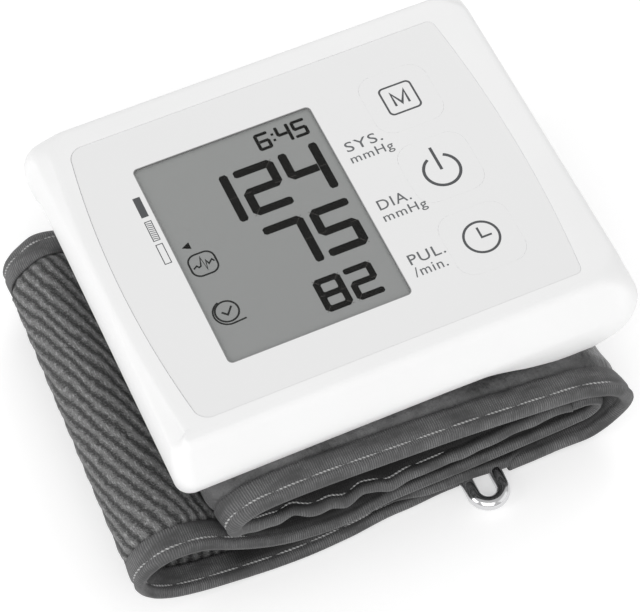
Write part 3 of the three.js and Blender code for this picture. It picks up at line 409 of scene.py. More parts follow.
@dataclass(frozen=True)
class RibbedTape(Finish):
    """Binding tape with fine ribs across it, laid along U."""

    pitch: float = 0.42 * MM

    def pattern(self, shader: Shader) -> None:
        """Ribs lighter on their crests, partly wear and partly painted highlight, with painted
        shade between the layers.

        Args:
            shader: the material.
        """
        shader.put("Sheen Weight", 0.06)
        ribs = shader.axis(shader.place(Space.UV, (FULL_TURN / self.pitch, 1, 1)), "X")
        drift = shader.noise(Space.UV, (300, 500, 1), 2.0)
        phase = shader.maths("ADD", ribs, shader.maths("MULTIPLY", drift, 5.0))
        rib = shader.spread(shader.maths("SINE", phase), (-1.0, 1.0))
        worn = shader.noise(Space.UV, (1500, 700, 1), 4.0, 0.65)
        patch = shader.noise(Space.UV, (120, 400, 1), 3.0)
        shown = shader.maths("MULTIPLY", shader.spread(patch, (0.38, 0.6), (0.12, 1.0)), rib)
        lit = shader.maths("MULTIPLY", shown, shader.spread(worn, (0.35, 0.65), (0.35, 1.0)))
        bare = shader.spread(patch, (0.35, 0.65))
        ground = shader.mix(bare, self.tone(0.7), self.colour)
        # Painted highlight mixed with wear: the rib crests are lightened up to 2.8 times.
        tone = shader.mix(lit, ground, self.tone(2.8))
        # Painted shade: the tape darkens to a tenth of its colour where little light reaches
        # between the layers.
        painted_shade_tone = shader.mix(shader.attribute("open"), self.tone(0.1), tone)
        shader.put("Base Color", painted_shade_tone)
        creases = shader.bump(worn, 0.12 * MM)
        shader.put("Normal", shader.bump(shown, 0.11 * MM, creases))


@dataclass(frozen=True)
class LoopPile(Finish):
    """Brushed loop cloth: cords that the mesh marks, with a fuzz of fine fibres."""

    slant: float = math.radians(23)

    def pattern(self, shader: Shader) -> None:
        """Raised cords with painted shade in the hollows and painted highlight on the crests and on
        stray strands.

        Args:
            shader: the material.
        """
        shader.put("Sheen Weight", 0.08)
        shader.put("Sheen Roughness", 0.6)
        fibre = shader.noise(Space.UV, (5600, 1200, 1), 4.0, 0.7, -self.slant - 0.35)
        strand = shader.noise(Space.UV, (4200, 900, 1), 3.0, 0.6, -self.slant + 0.3)
        fuzz = shader.noise(Space.UV, (3000, 3000, 1), 5.0, 0.75)
        patch = shader.noise(Space.UV, (330, 520, 1), 4.0, 0.6)
        stray = shader.spread(fibre, (0.3, 0.7), (-0.2, 0.2))
        sway = shader.spread(patch, (0.3, 0.7), (-0.14, 0.14))
        shift = shader.maths("ADD", stray, sway)
        phase = shader.maths("ADD", shader.attribute("cord"), shift)
        turn = shader.maths("MULTIPLY", phase, FULL_TURN)
        ridge = shader.spread(shader.maths("COSINE", turn), (-1.0, 1.0))
        ragged = shader.maths("ADD", ridge, shader.spread(fuzz, (0.3, 0.7), (-0.45, 0.45)))
        # Painted shade: the hollows between the cords are darkened to 0.22 of the colour.
        deep = shader.spread(ragged, (0.0, 0.5), (1.0, 0.0))
        # Painted highlight: the crests of the cords are lightened up to twice the colour.
        high = shader.spread(ragged, (0.55, 1.25))
        ground = shader.mix(deep, self.colour, self.tone(0.22))
        tone = shader.mix(high, ground, self.tone(2.0))
        # Painted highlight: stray strands over the crests are lightened up to 3.4 times the colour.
        lit = shader.maths("MULTIPLY", shader.spread(strand, (0.54, 0.64), (0.0, 0.9)), ridge)
        shader.put("Base Color", shader.mix(lit, tone, self.tone(3.4)))
        piled = shader.bump(fibre, 0.25 * MM)
        shader.put("Normal", shader.bump(fuzz, 0.25 * MM, piled))


@dataclass(frozen=True)
class Thread(Finish):
    """Twisted sewing thread, laid along U and round V."""

    twist: float = 0.75 * MM

    def pattern(self, shader: Shader) -> None:
        """Strands twisted round the thread, with painted shade in the grooves between them.

        Args:
            shader: the material.
        """
        lay = shader.place(Space.UV, (FULL_TURN / self.twist, FULL_TURN, 1))
        turn = shader.maths("ADD", shader.axis(lay, "X"), shader.axis(lay, "Y"))
        strand = shader.spread(shader.maths("SINE", turn), (-0.8, 0.6))
        worn = shader.noise(Space.OBJECT, (2400, 2400, 2400), 3.0, 0.7)
        lit = shader.maths("MULTIPLY", strand, shader.spread(worn, (0.3, 0.6), (0.45, 1.0)))
        # Painted shade: the grooves between the strands darken to 0.3 of the colour.
        shader.put("Base Color", shader.mix(lit, self.tone(0.3), self.colour))
        shader.put("Normal", shader.bump(strand, 0.12 * MM))


@dataclass(frozen=True)
class CellWrap(Finish):
    """Plain foil round a cell, with a lighter band near one end."""

    band: Colour = (0.62, 0.63, 0.65)
    metallic: float = 0.6

    def pattern(self, shader: Shader) -> None:
        """A band of lighter foil and fine scuffs.

        Args:
            shader: the material.
        """
        along = shader.axis(shader.place(Space.OBJECT, (1, 1, 1)), "Y")
        share = shader.spread(along, (9.8 * MM, 10.2 * MM))
        scuff = shader.noise(Space.OBJECT, (900, 300, 900), 4.0)
        shader.put("Base Color", shader.mix(share, self.colour, self.band))
        rough = shader.spread(scuff, (0.3, 0.7), (self.roughness * 0.8, self.roughness * 1.4))
        shader.put("Roughness", rough)


@dataclass(frozen=True)
class Webbing(Finish):
    """Narrow woven webbing with ribs along Y."""

    ribs: float = 1900.0

    def pattern(self, shader: Shader) -> None:
        """Worn ribs.

        Args:
            shader: the material.
        """
        lines = shader.axis(shader.place(Space.OBJECT, (1, self.ribs * FULL_TURN, 1)), "Y")
        rib = shader.spread(shader.maths("SINE", lines), (-1.0, 1.0))
        worn = shader.noise(Space.OBJECT, (700, 700, 700), 4.0, 0.6)
        tone = shader.maths("MULTIPLY", rib, worn)
        shader.put("Base Color", shader.mix(tone, self.tone(0.7), self.tone(1.5)))
        shader.put("Normal", shader.bump(rib, 0.08 * MM))


WHITE_SHELL = Finish("white_shell", (0.82, 0.82, 0.82), 0.42)
FACE_FILM = Finish("face_film", (0.765, 0.765, 0.765), 0.4, grain=0.003 * MM, uneven=0.006)
WINDOW_FILM = ClearFilm("window_film", (0.03, 0.03, 0.03), 0.08, grain=0.002 * MM, shine=0.12)
DISPLAY_GREY = Crystal("display_grey", (0.4, 0.41, 0.403), 0.6, painted_front_shade=(0.385, 0.393, 0.389))
# Painted shade for the shadow in the gap round the display window.
PAINTED_GAP_SHADE = Finish("painted_gap_shade", (0.3, 0.3, 0.3), 0.6)
DISPLAY_INK = Finish("display_ink", (0.01, 0.01, 0.009), 0.6, shine=0.1)
SEAM_INK = Finish("seam_ink", (0.11, 0.1, 0.095), 0.6, shine=0.1)
ICON_INK = Finish("icon_ink", (0.035, 0.036, 0.035), 0.6, shine=0.1)
PRINT_INK = Finish("print_ink", (0.085, 0.088, 0.092), 0.6, shine=0.2)
PALE_INK = Finish("pale_ink", (0.13, 0.135, 0.14), 0.6, shine=0.2)
BOARD_GREEN = Finish("board_green", (0.03, 0.14, 0.06), 0.45, uneven=0.3)
DARK_PLASTIC = Finish("dark_plastic", (0.02, 0.02, 0.022), 0.45)
DARK_RUBBER = Finish("dark_rubber", (0.035, 0.035, 0.037), 0.75, grain=0.02 * MM)
PLATED_STEEL = Metal("plated_steel", (0.62, 0.63, 0.65), 0.3)
BRIGHT_CHROME = Finish(
    "bright_chrome", (0.72, 0.72, 0.73), 0.14, grain=0.0005 * MM, uneven=0.01, metallic=1.0
)
TURNED_BRASS = Metal("turned_brass", (0.62, 0.46, 0.2), 0.3)
NATURAL_NYLON = Finish("natural_nylon", (0.72, 0.72, 0.69), 0.5)
CELL_FOIL = CellWrap("cell_foil", (0.06, 0.09, 0.16), 0.35)
CUFF_NYLON = PlainWeave("cuff_nylon", (0.075, 0.075, 0.076), 0.42, grain=0.02 * MM)
LOOP_CLOTH = LoopPile("loop_cloth", (0.125, 0.125, 0.125), 0.9)
EDGE_TAPE = RibbedTape("edge_tape", (0.072, 0.072, 0.073), 0.75)
PALE_THREAD = Thread("pale_thread", (0.52, 0.52, 0.52), 0.7)
DARK_WEBBING = Webbing("dark_webbing", (0.06, 0.061, 0.064), 0.8)
BLADDER_SKIN = Finish("bladder_skin", (0.26, 0.265, 0.27), 0.5, grain=0.02 * MM)

SLOT_FINISHES: dict[str, Finish] = {
    "shell": WHITE_SHELL,
    "face": FACE_FILM,
    "clear": WINDOW_FILM,
    "display": DISPLAY_GREY,
    "board": BOARD_GREEN,
    "dark": DARK_PLASTIC,
    "rubber": DARK_RUBBER,
    "steel": PLATED_STEEL,
    "chrome": BRIGHT_CHROME,
    "brass": TURNED_BRASS,
    "nylon": NATURAL_NYLON,
    "cell": CELL_FOIL,
    "cuff_cloth": CUFF_NYLON,
    "loop_cloth": LOOP_CLOTH,
    "tape": EDGE_TAPE,
    "bladder": BLADDER_SKIN,
}


def mm(*lengths: float) -> tuple[float, ...]:
    """Lengths in millimetres turned into metres."""
    return tuple(length * MM for length in lengths)


def ease(share: float) -> float:
    """A soft step from 0 to 1."""
    held = min(max(share, 0.0), 1.0)
    return held * held * (3 - 2 * held)


def ramp(value: float, start: float, run: float) -> float:
    """A soft step that begins at start and takes run, downwards where run is negative."""
    return ease((value - start) / run)


def deselect_all() -> None:
    """Leaves nothing selected."""
    for piece in bpy.context.selected_objects:
        piece.select_set(False)


def select_only(piece: Piece) -> None:
    """Makes one object the only one that operators act on.

    Args:
        piece: the object.
    """
    deselect_all()
    piece.select_set(True)
    bpy.context.view_layer.objects.active = piece


def linked(name: str, data: bpy.types.ID) -> Piece:
    """Puts a new object into the scene, the only one selected.

    Args:
        name: the object's name.
        data: its mesh, curve, light or camera.

    Returns:
        The object.
    """
    piece = bpy.data.objects.new(name, data)
    bpy.context.scene.collection.objects.link(piece)
    select_only(piece)
    return piece


@contextmanager
def editing(piece: Piece) -> Iterator[None]:
    """Edit mode on one piece, with all of it selected.

    Args:
        piece: the mesh object.
    """
    select_only(piece)
    bpy.ops.object.mode_set(mode="EDIT")
    bpy.ops.mesh.select_all(action="SELECT")
    yield
    bpy.ops.object.mode_set(mode="OBJECT")


def apply_modifier(piece: Piece, kind: str, **settings: object) -> None:
    """Adds a modifier with its settings and applies it.

    Args:
        piece: the mesh object.
        kind: the modifier's type.
        settings: its settings by name.
    """
    select_only(piece)
    modifier = piece.modifiers.new(kind.lower(), kind)
    for name, value in settings.items():
        setattr(modifier, name, value)
    bpy.ops.object.modifier_apply(modifier=modifier.name)


def smooth(piece: Piece, degrees: float = 38.0) -> None:
    """Shades a piece smooth except along its sharp edges."""
    select_only(piece)
    bpy.ops.object.shade_smooth_by_angle(angle=math.radians(degrees))


def bevelled(piece: Piece, width: float) -> None:
    """Rounds the sharp edges of a piece and shades it smooth, its flat faces kept flat.

    Args:
        piece: the mesh object.
        width: width of the rounding.
    """
    smooth(piece)
    apply_modifier(
        piece,
        "BEVEL",
        width=width,
        segments=2,
        limit_method="ANGLE",
        angle_limit=math.radians(40),
        miter_outer="MITER_ARC",
        harden_normals=True,
    )


def merged_copy(node: str, name: str) -> Piece:
    """A copy of a CAD node with its loose triangles joined into one surface.

    Args:
        node: the node's name.
        name: the copy's name.

    Returns:
        The mesh object.
    """
    piece = linked(name, frame["nodes"][node].data.copy())
    bpy.ops.mesh.customdata_custom_splitnormals_clear()
    with editing(piece):
        bpy.ops.mesh.remove_doubles(threshold=0.0005 * MM)
        bpy.ops.mesh.dissolve_limited(angle_limit=math.radians(0.5))
    return piece


def dressed(
    piece: Piece, finish: Finish, body: Body = Body.HOUSING, replaces: Sequence[str] = ()
) -> None:
    """Gives a finished piece its material, body, slot and the nodes that it stands for.

    Args:
        piece: a mesh object in place.
        finish: its surface.
        body: what it rides on.
        replaces: CAD nodes that it stands for.
    """
    piece.data.materials.clear()
    piece.data.materials.append(finish.material())
    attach(piece, body.value)
    if replaces:
        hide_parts(*replaces)
    log.info("%s: %d faces", piece.name, len(piece.data.polygons))


def curve_mesh(name: str, outlines: Outlines, height: float, **settings: object) -> Piece:
    """A curve through closed outlines, turned into a mesh.

    Args:
        name: the piece's name.
        outlines: the outlines, in metres.
        height: the height that they lie at.
        settings: the curve's settings, in the order in which they are made.

    Returns:
        The mesh object.
    """
    curve = bpy.data.curves.new(name, "CURVE")
    for key, value in settings.items():
        setattr(curve, key, value)
    for outline in outlines:
        spline = curve.splines.new("POLY")
        spline.points.add(len(outline) - 1)
        for point, (x, y) in zip(spline.points, outline):
            point.co = (x, y, height, 1.0)
        spline.use_cyclic_u = True
    linked(name, curve)
    bpy.ops.object.convert(target="MESH")
    return bpy.context.view_layer.objects.active


def flat_piece(name: str, outlines: Outlines, low: float, high: float, edge: float = 0) -> Piece:
    """A level plate with openings, made as a filled curve and turned into a mesh.

    Args:
        name: the piece's name.
        outlines: closed outlines in metres; one inside another is an opening.
        low: height of its underside.
        high: height of its top.
        edge: width of its rounded edge.

    Returns:
        The mesh object.
    """
    piece = curve_mesh(
        name,
        outlines,
        0.0,
        dimensions="2D",
        fill_mode="BOTH",
        extrude=(high - low) / 2 - edge,
        bevel_depth=edge,
        offset=-edge,
        bevel_resolution=2,
    )
    piece.data.transform(Matrix.Translation((0.0, 0.0, (low + high) / 2)))
    with editing(piece):
        bpy.ops.mesh.remove_doubles(threshold=0.0002 * MM)
        bpy.ops.mesh.normals_make_consistent(inside=False)
    smooth(piece)
    for face in piece.data.polygons:
        face.use_smooth = abs(face.normal.z) < 0.999
    return piece


SIDE_STEPS = 24
LINE_MITRE = 0.45


def rounded_outline(
    centre: Point,
    size: Point,
    radius: float | Point,
    bow: Point = (0.0, 0.0),
    steps: int = 10,
) -> list[Point]:
    """A rounded rectangle, its left and right sides bowed outwards.

    Args:
        centre: its middle.
        size: width and depth.
        radius: corner radius, or those of the left and the right corners.
        bow: how far the left and the right side bulge.
        steps: points in each corner.

    Returns:
        The outline, anticlockwise from the right.
    """
    half = (size[0] / 2, size[1] / 2)
    radii = radius if isinstance(radius, tuple) else (radius, radius)
    points: list[Point] = []
    for corner in range(4):
        sign = (1 if corner in (0, 3) else -1, 1 if corner < 2 else -1)
        bend = radii[sign[0] > 0]
        middle = (sign[0] * (half[0] - bend), sign[1] * (half[1] - bend))
        for i in range(steps + 1):
            angle = (corner + i / steps) * math.pi / 2
            points.append((middle[0] + bend * math.cos(angle), middle[1] + bend * math.sin(angle)))
        if corner in (1, 3) and max(bow) > 0:
            shares = (2 * i / SIDE_STEPS for i in range(1, SIDE_STEPS))
            points += [(sign[0] * half[0], middle[1] * (1 - share)) for share in shares]
    bowed = []
    for x, y in points:
        bulge = (bow[0] if x < 0 else bow[1]) * (1 - (y / half[1]) ** 2) * x / half[0]
        bowed.append((centre[0] + x + bulge, centre[1] + y))
    return bowed


def arc(centre: Point, radius: float, start: float, end: float, steps: int = 40) -> list[Point]:
    """Points along an arc, its angles in degrees."""
    angles = [math.radians(start + (end - start) * i / steps) for i in range(steps + 1)]
    return [(centre[0] + radius * math.cos(a), centre[1] + radius * math.sin(a)) for a in angles]


def stroke(points: Sequence[Point], width: float) -> list[Point]:
    """The outline of a line of even width through points, its corners mitred.

    Args:
        points: the line's points.
        width: its width.

    Returns:
        The closed outline.
    """
    left: list[Point] = []
    right: list[Point] = []
    for i, (x, y) in enumerate(points):
        before = Vector(points[max(i - 1, 0)])
        after = Vector(points[min(i + 1, len(points) - 1)])
        here = Vector((x, y))
        into = (here - before).normalized() if i else (after - here).normalized()
        out = (after - here).normalized() if i < len(points) - 1 else into
        tangent = (into + out).normalized()
        normal = Vector((-tangent.y, tangent.x))
        reach = width / 2 / max(LINE_MITRE, normal.dot(Vector((-out.y, out.x))))
        left.append((x + normal.x * reach, y + normal.y * reach))
        right.append((x - normal.x * reach, y - normal.y * reach))
    return left + right[::-1]


def shifted(points: Sequence[Point], middle: Point) -> list[Point]:
    """Points given in millimetres from a middle, as places in metres."""
    return [(middle[0] + x * MM, middle[1] + y * MM) for x, y in points]


def ring_outlines(centre: Point, outer: float, width: float) -> list[list[Point]]:
    """Both edges of a full ring."""
    return [arc(centre, outer, 0, 354, 59), arc(centre, outer - width, 0, 354, 59)]


@dataclass(frozen=True)
class Level:
    """One level of the case's outside, its insets measured inwards from the rim."""

    height: float
    side: float
    left: float
    corner: float
    radius: float


CASE_LEVELS = (
    Level(23.5, 0.1, 0.6, 0.6, 6.0),
    Level(25.3, -0.5, 0.4, -0.7, 5.0),
    Level(27.0, -0.9, 0.2, -1.5, 4.4),
    Level(28.3, -1.15, 0.1, -1.8, 4.0),
    Level(29.6, -1.33, -0.1, -2.0, 3.6),
    Level(31.5, -1.5, -0.35, -2.2, 3.4),
    Level(33.65, -1.6, -0.5, -2.3, 3.4),
    Level(36.4, -1.2, -0.5, -2.3, 3.4),
    Level(39.0, -0.5, -0.3, -1.8, 3.6),
    Level(41.2, 0.0, 0.0, -1.0, 4.2),
    Level(42.6, 0.25, 0.25, -0.2, 5.2),
    Level(43.4, 0.5, 0.5, 0.4, 6.0),
    Level(44.0, 0.85, 0.85, 1.1, 6.6),
    Level(44.35, 1.3, 1.3, 1.9, 7.0),
    Level(44.5, 2.1, 2.1, 2.9, 7.4),
)


@dataclass
class Case:
    """The white case: its swelled shell, hollowed and opened, and the battery door."""

    half: Point = (42.9, 34.9)
    wall: float = 1.8
    roof: float = 42.2
    rim: float = 28.3
    bay_low: float = 23.5
    bay_run: Point = (15.0, 33.5)
    doorway: Point = (25.5, 39.1)
    doorway_run: Point = (40.0, 50.0)
    dip_run: float = 19.5
    dip_steps: int = 16
    left_bow: float = 2.1
    bow_rise: Point = (41.6, 2.4)
    swell: Point = (34.0, 9.0)
    rim_inset: float = 1.2
    rim_reach: float = 5.0
    rim_fade: Point = (12.0, 16.0)
    clear: float = 50.0
    clear_below: float = 20.0
    clear_above: float = 46.0
    opening_cut: Point = (41.0, 45.0)
    opening_corner: float = 1.3 * MM
    hollow_corner: float = 5.0 * MM
    pocket_depth: float = 0.4 * MM
    snap_reach: float = 1.2 * MM
    snap_lowest: float = 23.6 * MM
    tight_radius: float = 2.9
    right_swell: float = 0.6
    corner_steps: int = 12
    side_steps: int = 10
    rings: int = 40
    edge: float = 0.2 * MM

    def build(self) -> None:
        """Makes and dresses the case's pieces."""
        skin = self.skin()
        shell = self.shell(skin)
        dressed(shell, WHITE_SHELL, replaces=["upper_case"])
        door = merged_copy("battery_door", "battery_door_panel")
        self.snap(door, skin)
        bevelled(door, self.edge)
        dressed(door, WHITE_SHELL, Body.DOOR, ["battery_door"])
        bpy.data.objects.remove(skin)

    @staticmethod
    def level_at(height: float) -> Level:
        """The level at a height, between the listed ones on a smooth curve.

        Args:
            height: in millimetres.

        Returns:
            The level with its insets.
        """
        rows = CASE_LEVELS
        i = max(k for k in range(len(rows) - 1) if rows[k].height <= height + 1e-6)
        a, b, c, d = (rows[min(max(k, 0), len(rows) - 1)] for k in (i - 1, i, i + 1, i + 2))
        share = (height - b.height) / (c.height - b.height)

        def between(name: str) -> float:
            """One figure on a cubic with the neighbours' slopes.

            Args:
                name: the figure's field.

            Returns:
                The figure at the height.
            """
            values = [getattr(row, name) for row in (a, b, c, d)]
            span = c.height - b.height
            first = (values[2] - values[0]) / max(c.height - a.height, 1e-9) * span
            second = (values[3] - values[1]) / max(d.height - b.height, 1e-9) * span
            t, u = share, share * share
            return (
                values[1] * (2 * t * u - 3 * u + 1)
                + first * (t * u - 2 * u + t)
                + values[2] * (3 * u - 2 * t * u)
                + second * (t * u - u)
            )

        return Level(height, *(between(name) for name in ("side", "left", "corner", "radius")))

    def middle(self, corner: int, level: Level) -> tuple[float, float, float]:
        """The middle and the radius of one corner of an outline, counted from the rear right.

        Args:
            corner: 0 to 3, from the rear right round by the left.
            level: the level's insets.

        Returns:
            Both places and the radius.
        """
        sign = (1 if corner in (0, 3) else -1, 1 if corner < 2 else -1)
        radius = min(level.radius, self.tight_radius) if corner == 2 else level.radius
        return (*(s * (half - radius) for s, half in zip(sign, self.half)), radius)

    def outline(self, height: float) -> list[Point]:
        """The outline of the case's outside at a height, in millimetres.

        Args:
            height: in millimetres.

        Returns:
            The outline's points.
        """
        level = self.level_at(height)
        rise = ramp(height, *self.bow_rise)
        swelled = 1 - ease(abs(height - self.swell[0]) / self.swell[1])
        low = max(0.0, 1 - max(0.0, height - self.rim) / self.rim_reach) ** 2
        points: list[Point] = []
        for corner in range(4):
            here, after = self.middle(corner, level), self.middle((corner + 1) % 4, level)
            for i in range(self.corner_steps + self.side_steps):
                share = max(0.0, (i - self.corner_steps) / self.side_steps)
                turn = (corner + min(1.0, i / self.corner_steps)) * math.pi / 2
                x, y, radius = (a + (b - a) * share for a, b in zip(here, after))
                facing = (math.cos(turn), math.sin(turn))
                sharp = 0.0 if corner == 2 else (2 * facing[0] * facing[1]) ** 2
                left = max(0.0, -facing[0]) ** 2
                plain = level.side + (level.left - level.side) * left
                inset = plain + (level.corner - plain) * sharp
                inset += self.left_bow * rise * left * (y / self.half[1]) ** 2
                inset += self.rim_inset * low * (1 - ramp(x, *self.rim_fade)) * (1 - left)
                out = radius - inset + self.right_swell * swelled * max(0.0, facing[0]) ** 2
                points.append((x + out * facing[0], y + out * facing[1]))
        return points

    def skin(self) -> Piece:
        """The solid that the case is carved from: a cylinder drawn into shape ring by ring.

        Returns:
            The closed solid.
        """
        low, high = CASE_LEVELS[0].height, CASE_LEVELS[-1].height
        count = 4 * (self.corner_steps + self.side_steps)
        bpy.ops.mesh.primitive_cylinder_add(vertices=count, radius=1.0, depth=2.0)
        piece = bpy.context.view_layer.objects.active
        piece.name = "case_skin"
        bpy.ops.object.mode_set(mode="EDIT")
        bpy.ops.mesh.select_all(action="DESELECT")
        bpy.ops.object.mode_set(mode="OBJECT")
        for edge in piece.data.edges:
            ends = [piece.data.vertices[i].co for i in edge.vertices]
            edge.select = abs(ends[0].z - ends[1].z) > 1.0
        bpy.ops.object.mode_set(mode="EDIT")
        bpy.ops.mesh.select_mode(type="EDGE")
        bpy.ops.mesh.subdivide(number_cuts=self.rings - 1)
        bpy.ops.object.mode_set(mode="OBJECT")
        turns = [math.pi / 2 * i / self.rings for i in range(self.rings + 1)]
        heights = [low + (high - low) * math.sin(turn) for turn in turns]
        outlines = [self.outline(height) for height in heights]
        for vertex in piece.data.vertices:
            ring = round((vertex.co.z + 1) / 2 * self.rings)
            turn = math.atan2(vertex.co.y, vertex.co.x) % FULL_TURN
            x, y = outlines[ring][round(turn / FULL_TURN * count) % count]
            vertex.co = mm(x, y, heights[ring])
        return piece

    def lower_edge(self, x: float) -> float:
        """Height of the shell's lower edge, which dips round the battery bay."""
        share = (x - self.bay_run[0]) / (self.bay_run[1] - self.bay_run[0])
        return self.rim - (self.rim - self.bay_low) * ease(share)

    def cutters(self) -> list[Piece]:
        """The solids that hollow the shell and open it.

        Returns:
            The solids, to be taken away one after another.
        """
        clear = self.clear
        inside = [2 * (half - self.wall) * MM for half in self.half]
        hollow = rounded_outline((0, 0), inside, self.hollow_corner)
        shapes = [flat_piece("hollow", [hollow], (self.bay_low - 1) * MM, self.roof * MM)]
        steps = self.dip_steps
        dip = [self.bay_run[0] + self.dip_run * i / steps for i in range(steps + 1)]
        under = [mm(x, self.lower_edge(x)) for x in (-clear, *dip, clear)]
        under += [mm(clear, self.clear_below), mm(-clear, self.clear_below)]
        below = flat_piece("below", [under], -clear * MM, clear * MM)
        below.data.transform(Matrix.Rotation(math.pi / 2, 4, "X"))
        shapes.append(below)
        face = Face()
        floor = face.low.z - face.gap
        label = face.label_outline(face.recess_margin)
        shapes.append(flat_piece("recess", [label], floor, self.clear_above * MM))
        opening = [side - 2 * face.gap for side in face.window_size]
        window = rounded_outline(face.window_middle, opening, self.opening_corner)
        low, high = mm(*self.opening_cut)
        shapes.append(flat_piece("window_opening", [window], low, high))
        side = face.key_size() + 2 * face.pocket_margin
        for name, place in face.keys.items():
            pocket = rounded_outline(place, (side, side), face.key_corner + face.pocket_margin)
            shapes.append(flat_piece(f"{name}_pocket", [pocket], floor - self.pocket_depth, high))
        reach, top = mm(*self.doorway)
        start, end = mm(*self.doorway_run)
        doorway = [(start, -reach), (end, -reach), (end, reach), (start, reach)]
        shapes.append(flat_piece("doorway", [doorway], self.clear_below * MM, top))
        return shapes

    def shell(self, skin: Piece) -> Piece:
        """The shell: the skin with its hollow and openings cut out.

        Args:
            skin: the case's outside as a solid.

        Returns:
            The mesh object.
        """
        shell = linked("case_shell", skin.data.copy())
        for cutter in self.cutters():
            log.info("carving %s", cutter.name)
            apply_modifier(shell, "BOOLEAN", operation="DIFFERENCE", object=cutter, solver="EXACT")
            bpy.data.objects.remove(cutter)
        smooth(shell, 32)
        return shell

    def snap(self, piece: Piece, skin: Piece) -> None:
        """Draws a piece's outer vertices onto the case's skin.

        Args:
            piece: the mesh object.
            skin: the case's outside.
        """
        for vertex in piece.data.vertices:
            found, spot, _, _ = skin.closest_point_on_mesh(vertex.co)
            near = (spot - vertex.co).length < self.snap_reach
            if found and near and vertex.co.z > self.snap_lowest:
                vertex.co = spot


@dataclass
class Digits:
    """A row of seven-bar figures, set from its right end."""

    name: str
    text: str
    right: float
    bottom: float
    size: Point
    bar: float
    pitch: float
    seam: float

    PATHS: ClassVar[dict[str, tuple[str, ...]]] = {
        "1": ("TR BR",),
        "2": ("TL TR MR ML BL BR",),
        "4": ("TL ML NR", "TR BR"),
        "5": ("TR TL ML MR BR BL",),
        "6": ("TR TL BL BR MR NL",),
        "7": ("TL TR BR",),
        "8": (),
    }
    SEAMS: ClassVar[dict[str, str]] = {
        "1": "MR",
        "2": "TR MR ML BL",
        "4": "ML MR",
        "5": "TL ML MR BR",
        "6": "TL ML BL BR MR",
        "7": "TR MR",
        "8": "TL TR ML MR BL BR",
    }

    def spot(self, name: str, left: float) -> Point:
        """A joint of a figure: top, middle or bottom at the left or right, N beside a bar.

        Args:
            name: two letters for height and side.
            left: the figure's left side.

        Returns:
            The joint's place.
        """
        wide, tall = self.size
        half = self.bar / 2
        y = {"T": tall - half, "M": tall / 2, "N": tall / 2, "B": half}[name[0]]
        beside = 0.5 * self.bar + self.seam if name[0] == "N" else 0.0
        x = half + beside if name[1] == "L" else wide - half - beside
        return (left + x, self.bottom + y)

    def path(self, joints: Sequence[str], left: float) -> list[Point]:
        """The outline of bars joined end to end, with cut corners and blunt tips.

        Args:
            joints: the joints that the bars run through.
            left: the figure's left side.

        Returns:
            The closed outline.
        """
        spots = [Vector(self.spot(joint, left)) for joint in joints]
        cut = 0.3 * self.bar
        ends = [(spots[i] - spots[k]).normalized() for i, k in ((0, 1), (-1, -2))]
        reach = [0.0 if joints[i][0] == "N" else 0.5 * self.bar for i in (0, -1)]
        line = [spots[0] + ends[0] * reach[0]]
        for before, here, after in zip(spots, spots[1:], spots[2:]):
            line.append(here + (before - here).normalized() * cut)
            line.append(here + (after - here).normalized() * cut)
        line.append(spots[-1] + ends[1] * reach[1])
        outline = [Vector(point) for point in stroke([tuple(point) for point in line], self.bar)]
        half = len(outline) // 2
        tipped: list[Point] = []
        for k, point in enumerate(outline):
            end = 0 if k in (0, len(outline) - 1) else -1
            if (end and k not in (half - 1, half)) or reach[end] == 0.0:
                tipped.append(tuple(point))
                continue
            blunt = [point - ends[end] * 0.3 * self.bar, point.lerp(line[end], 0.4)]
            tipped += [tuple(spot) for spot in (blunt[::-1] if k in (0, half) else blunt)]
        return tipped

    def eight(self, left: float) -> list[list[Point]]:
        """The outline of an 8 and of its two openings.

        Args:
            left: the figure's left side.

        Returns:
            The outline, then its openings.
        """
        wide, tall = self.size
        bar, cut = self.bar, 0.6 * self.bar
        middle = left + wide / 2
        found = [rounded_outline((middle, self.bottom + tall / 2), (wide, tall), cut, steps=1)]
        for low, high in ((bar, tall / 2 - bar / 2), (tall / 2 + bar / 2, tall - bar)):
            centre, size = (middle, self.bottom + (low + high) / 2), (wide - 2 * bar, high - low)
            found.append(rounded_outline(centre, size, 0.15 * bar, steps=1))
        return found

    def lefts(self) -> list[tuple[str, float]]:
        """Each figure with the place of its left side, from the last to the first."""
        figures = enumerate(reversed(self.text))
        return [(figure, self.right - self.size[0] - i * self.pitch) for i, figure in figures]

    def outlines(self) -> list[list[Point]]:
        """The outlines of all the figures.

        Returns:
            Closed outlines.
        """
        found = []
        for figure, left in self.lefts():
            found += self.eight(left) if figure == "8" else []
            found += [self.path(joints.split(), left) for joints in self.PATHS[figure]]
        return found

    def seams(self) -> list[list[Point]]:
        """Fine lines where the bars of the figures meet.

        Returns:
            Closed outlines.
        """
        found = []
        for figure, left in self.lefts():
            for joint in self.SEAMS[figure].split():
                x, y = self.spot(joint, left)
                reach = 0.42 * self.bar
                side = -reach if joint[1] == "L" else reach
                rise = {"T": reach, "M": 0, "B": -reach}[joint[0]]
                found.append(stroke([(x - side, y - rise), (x + side, y + rise)], self.seam))
        return found


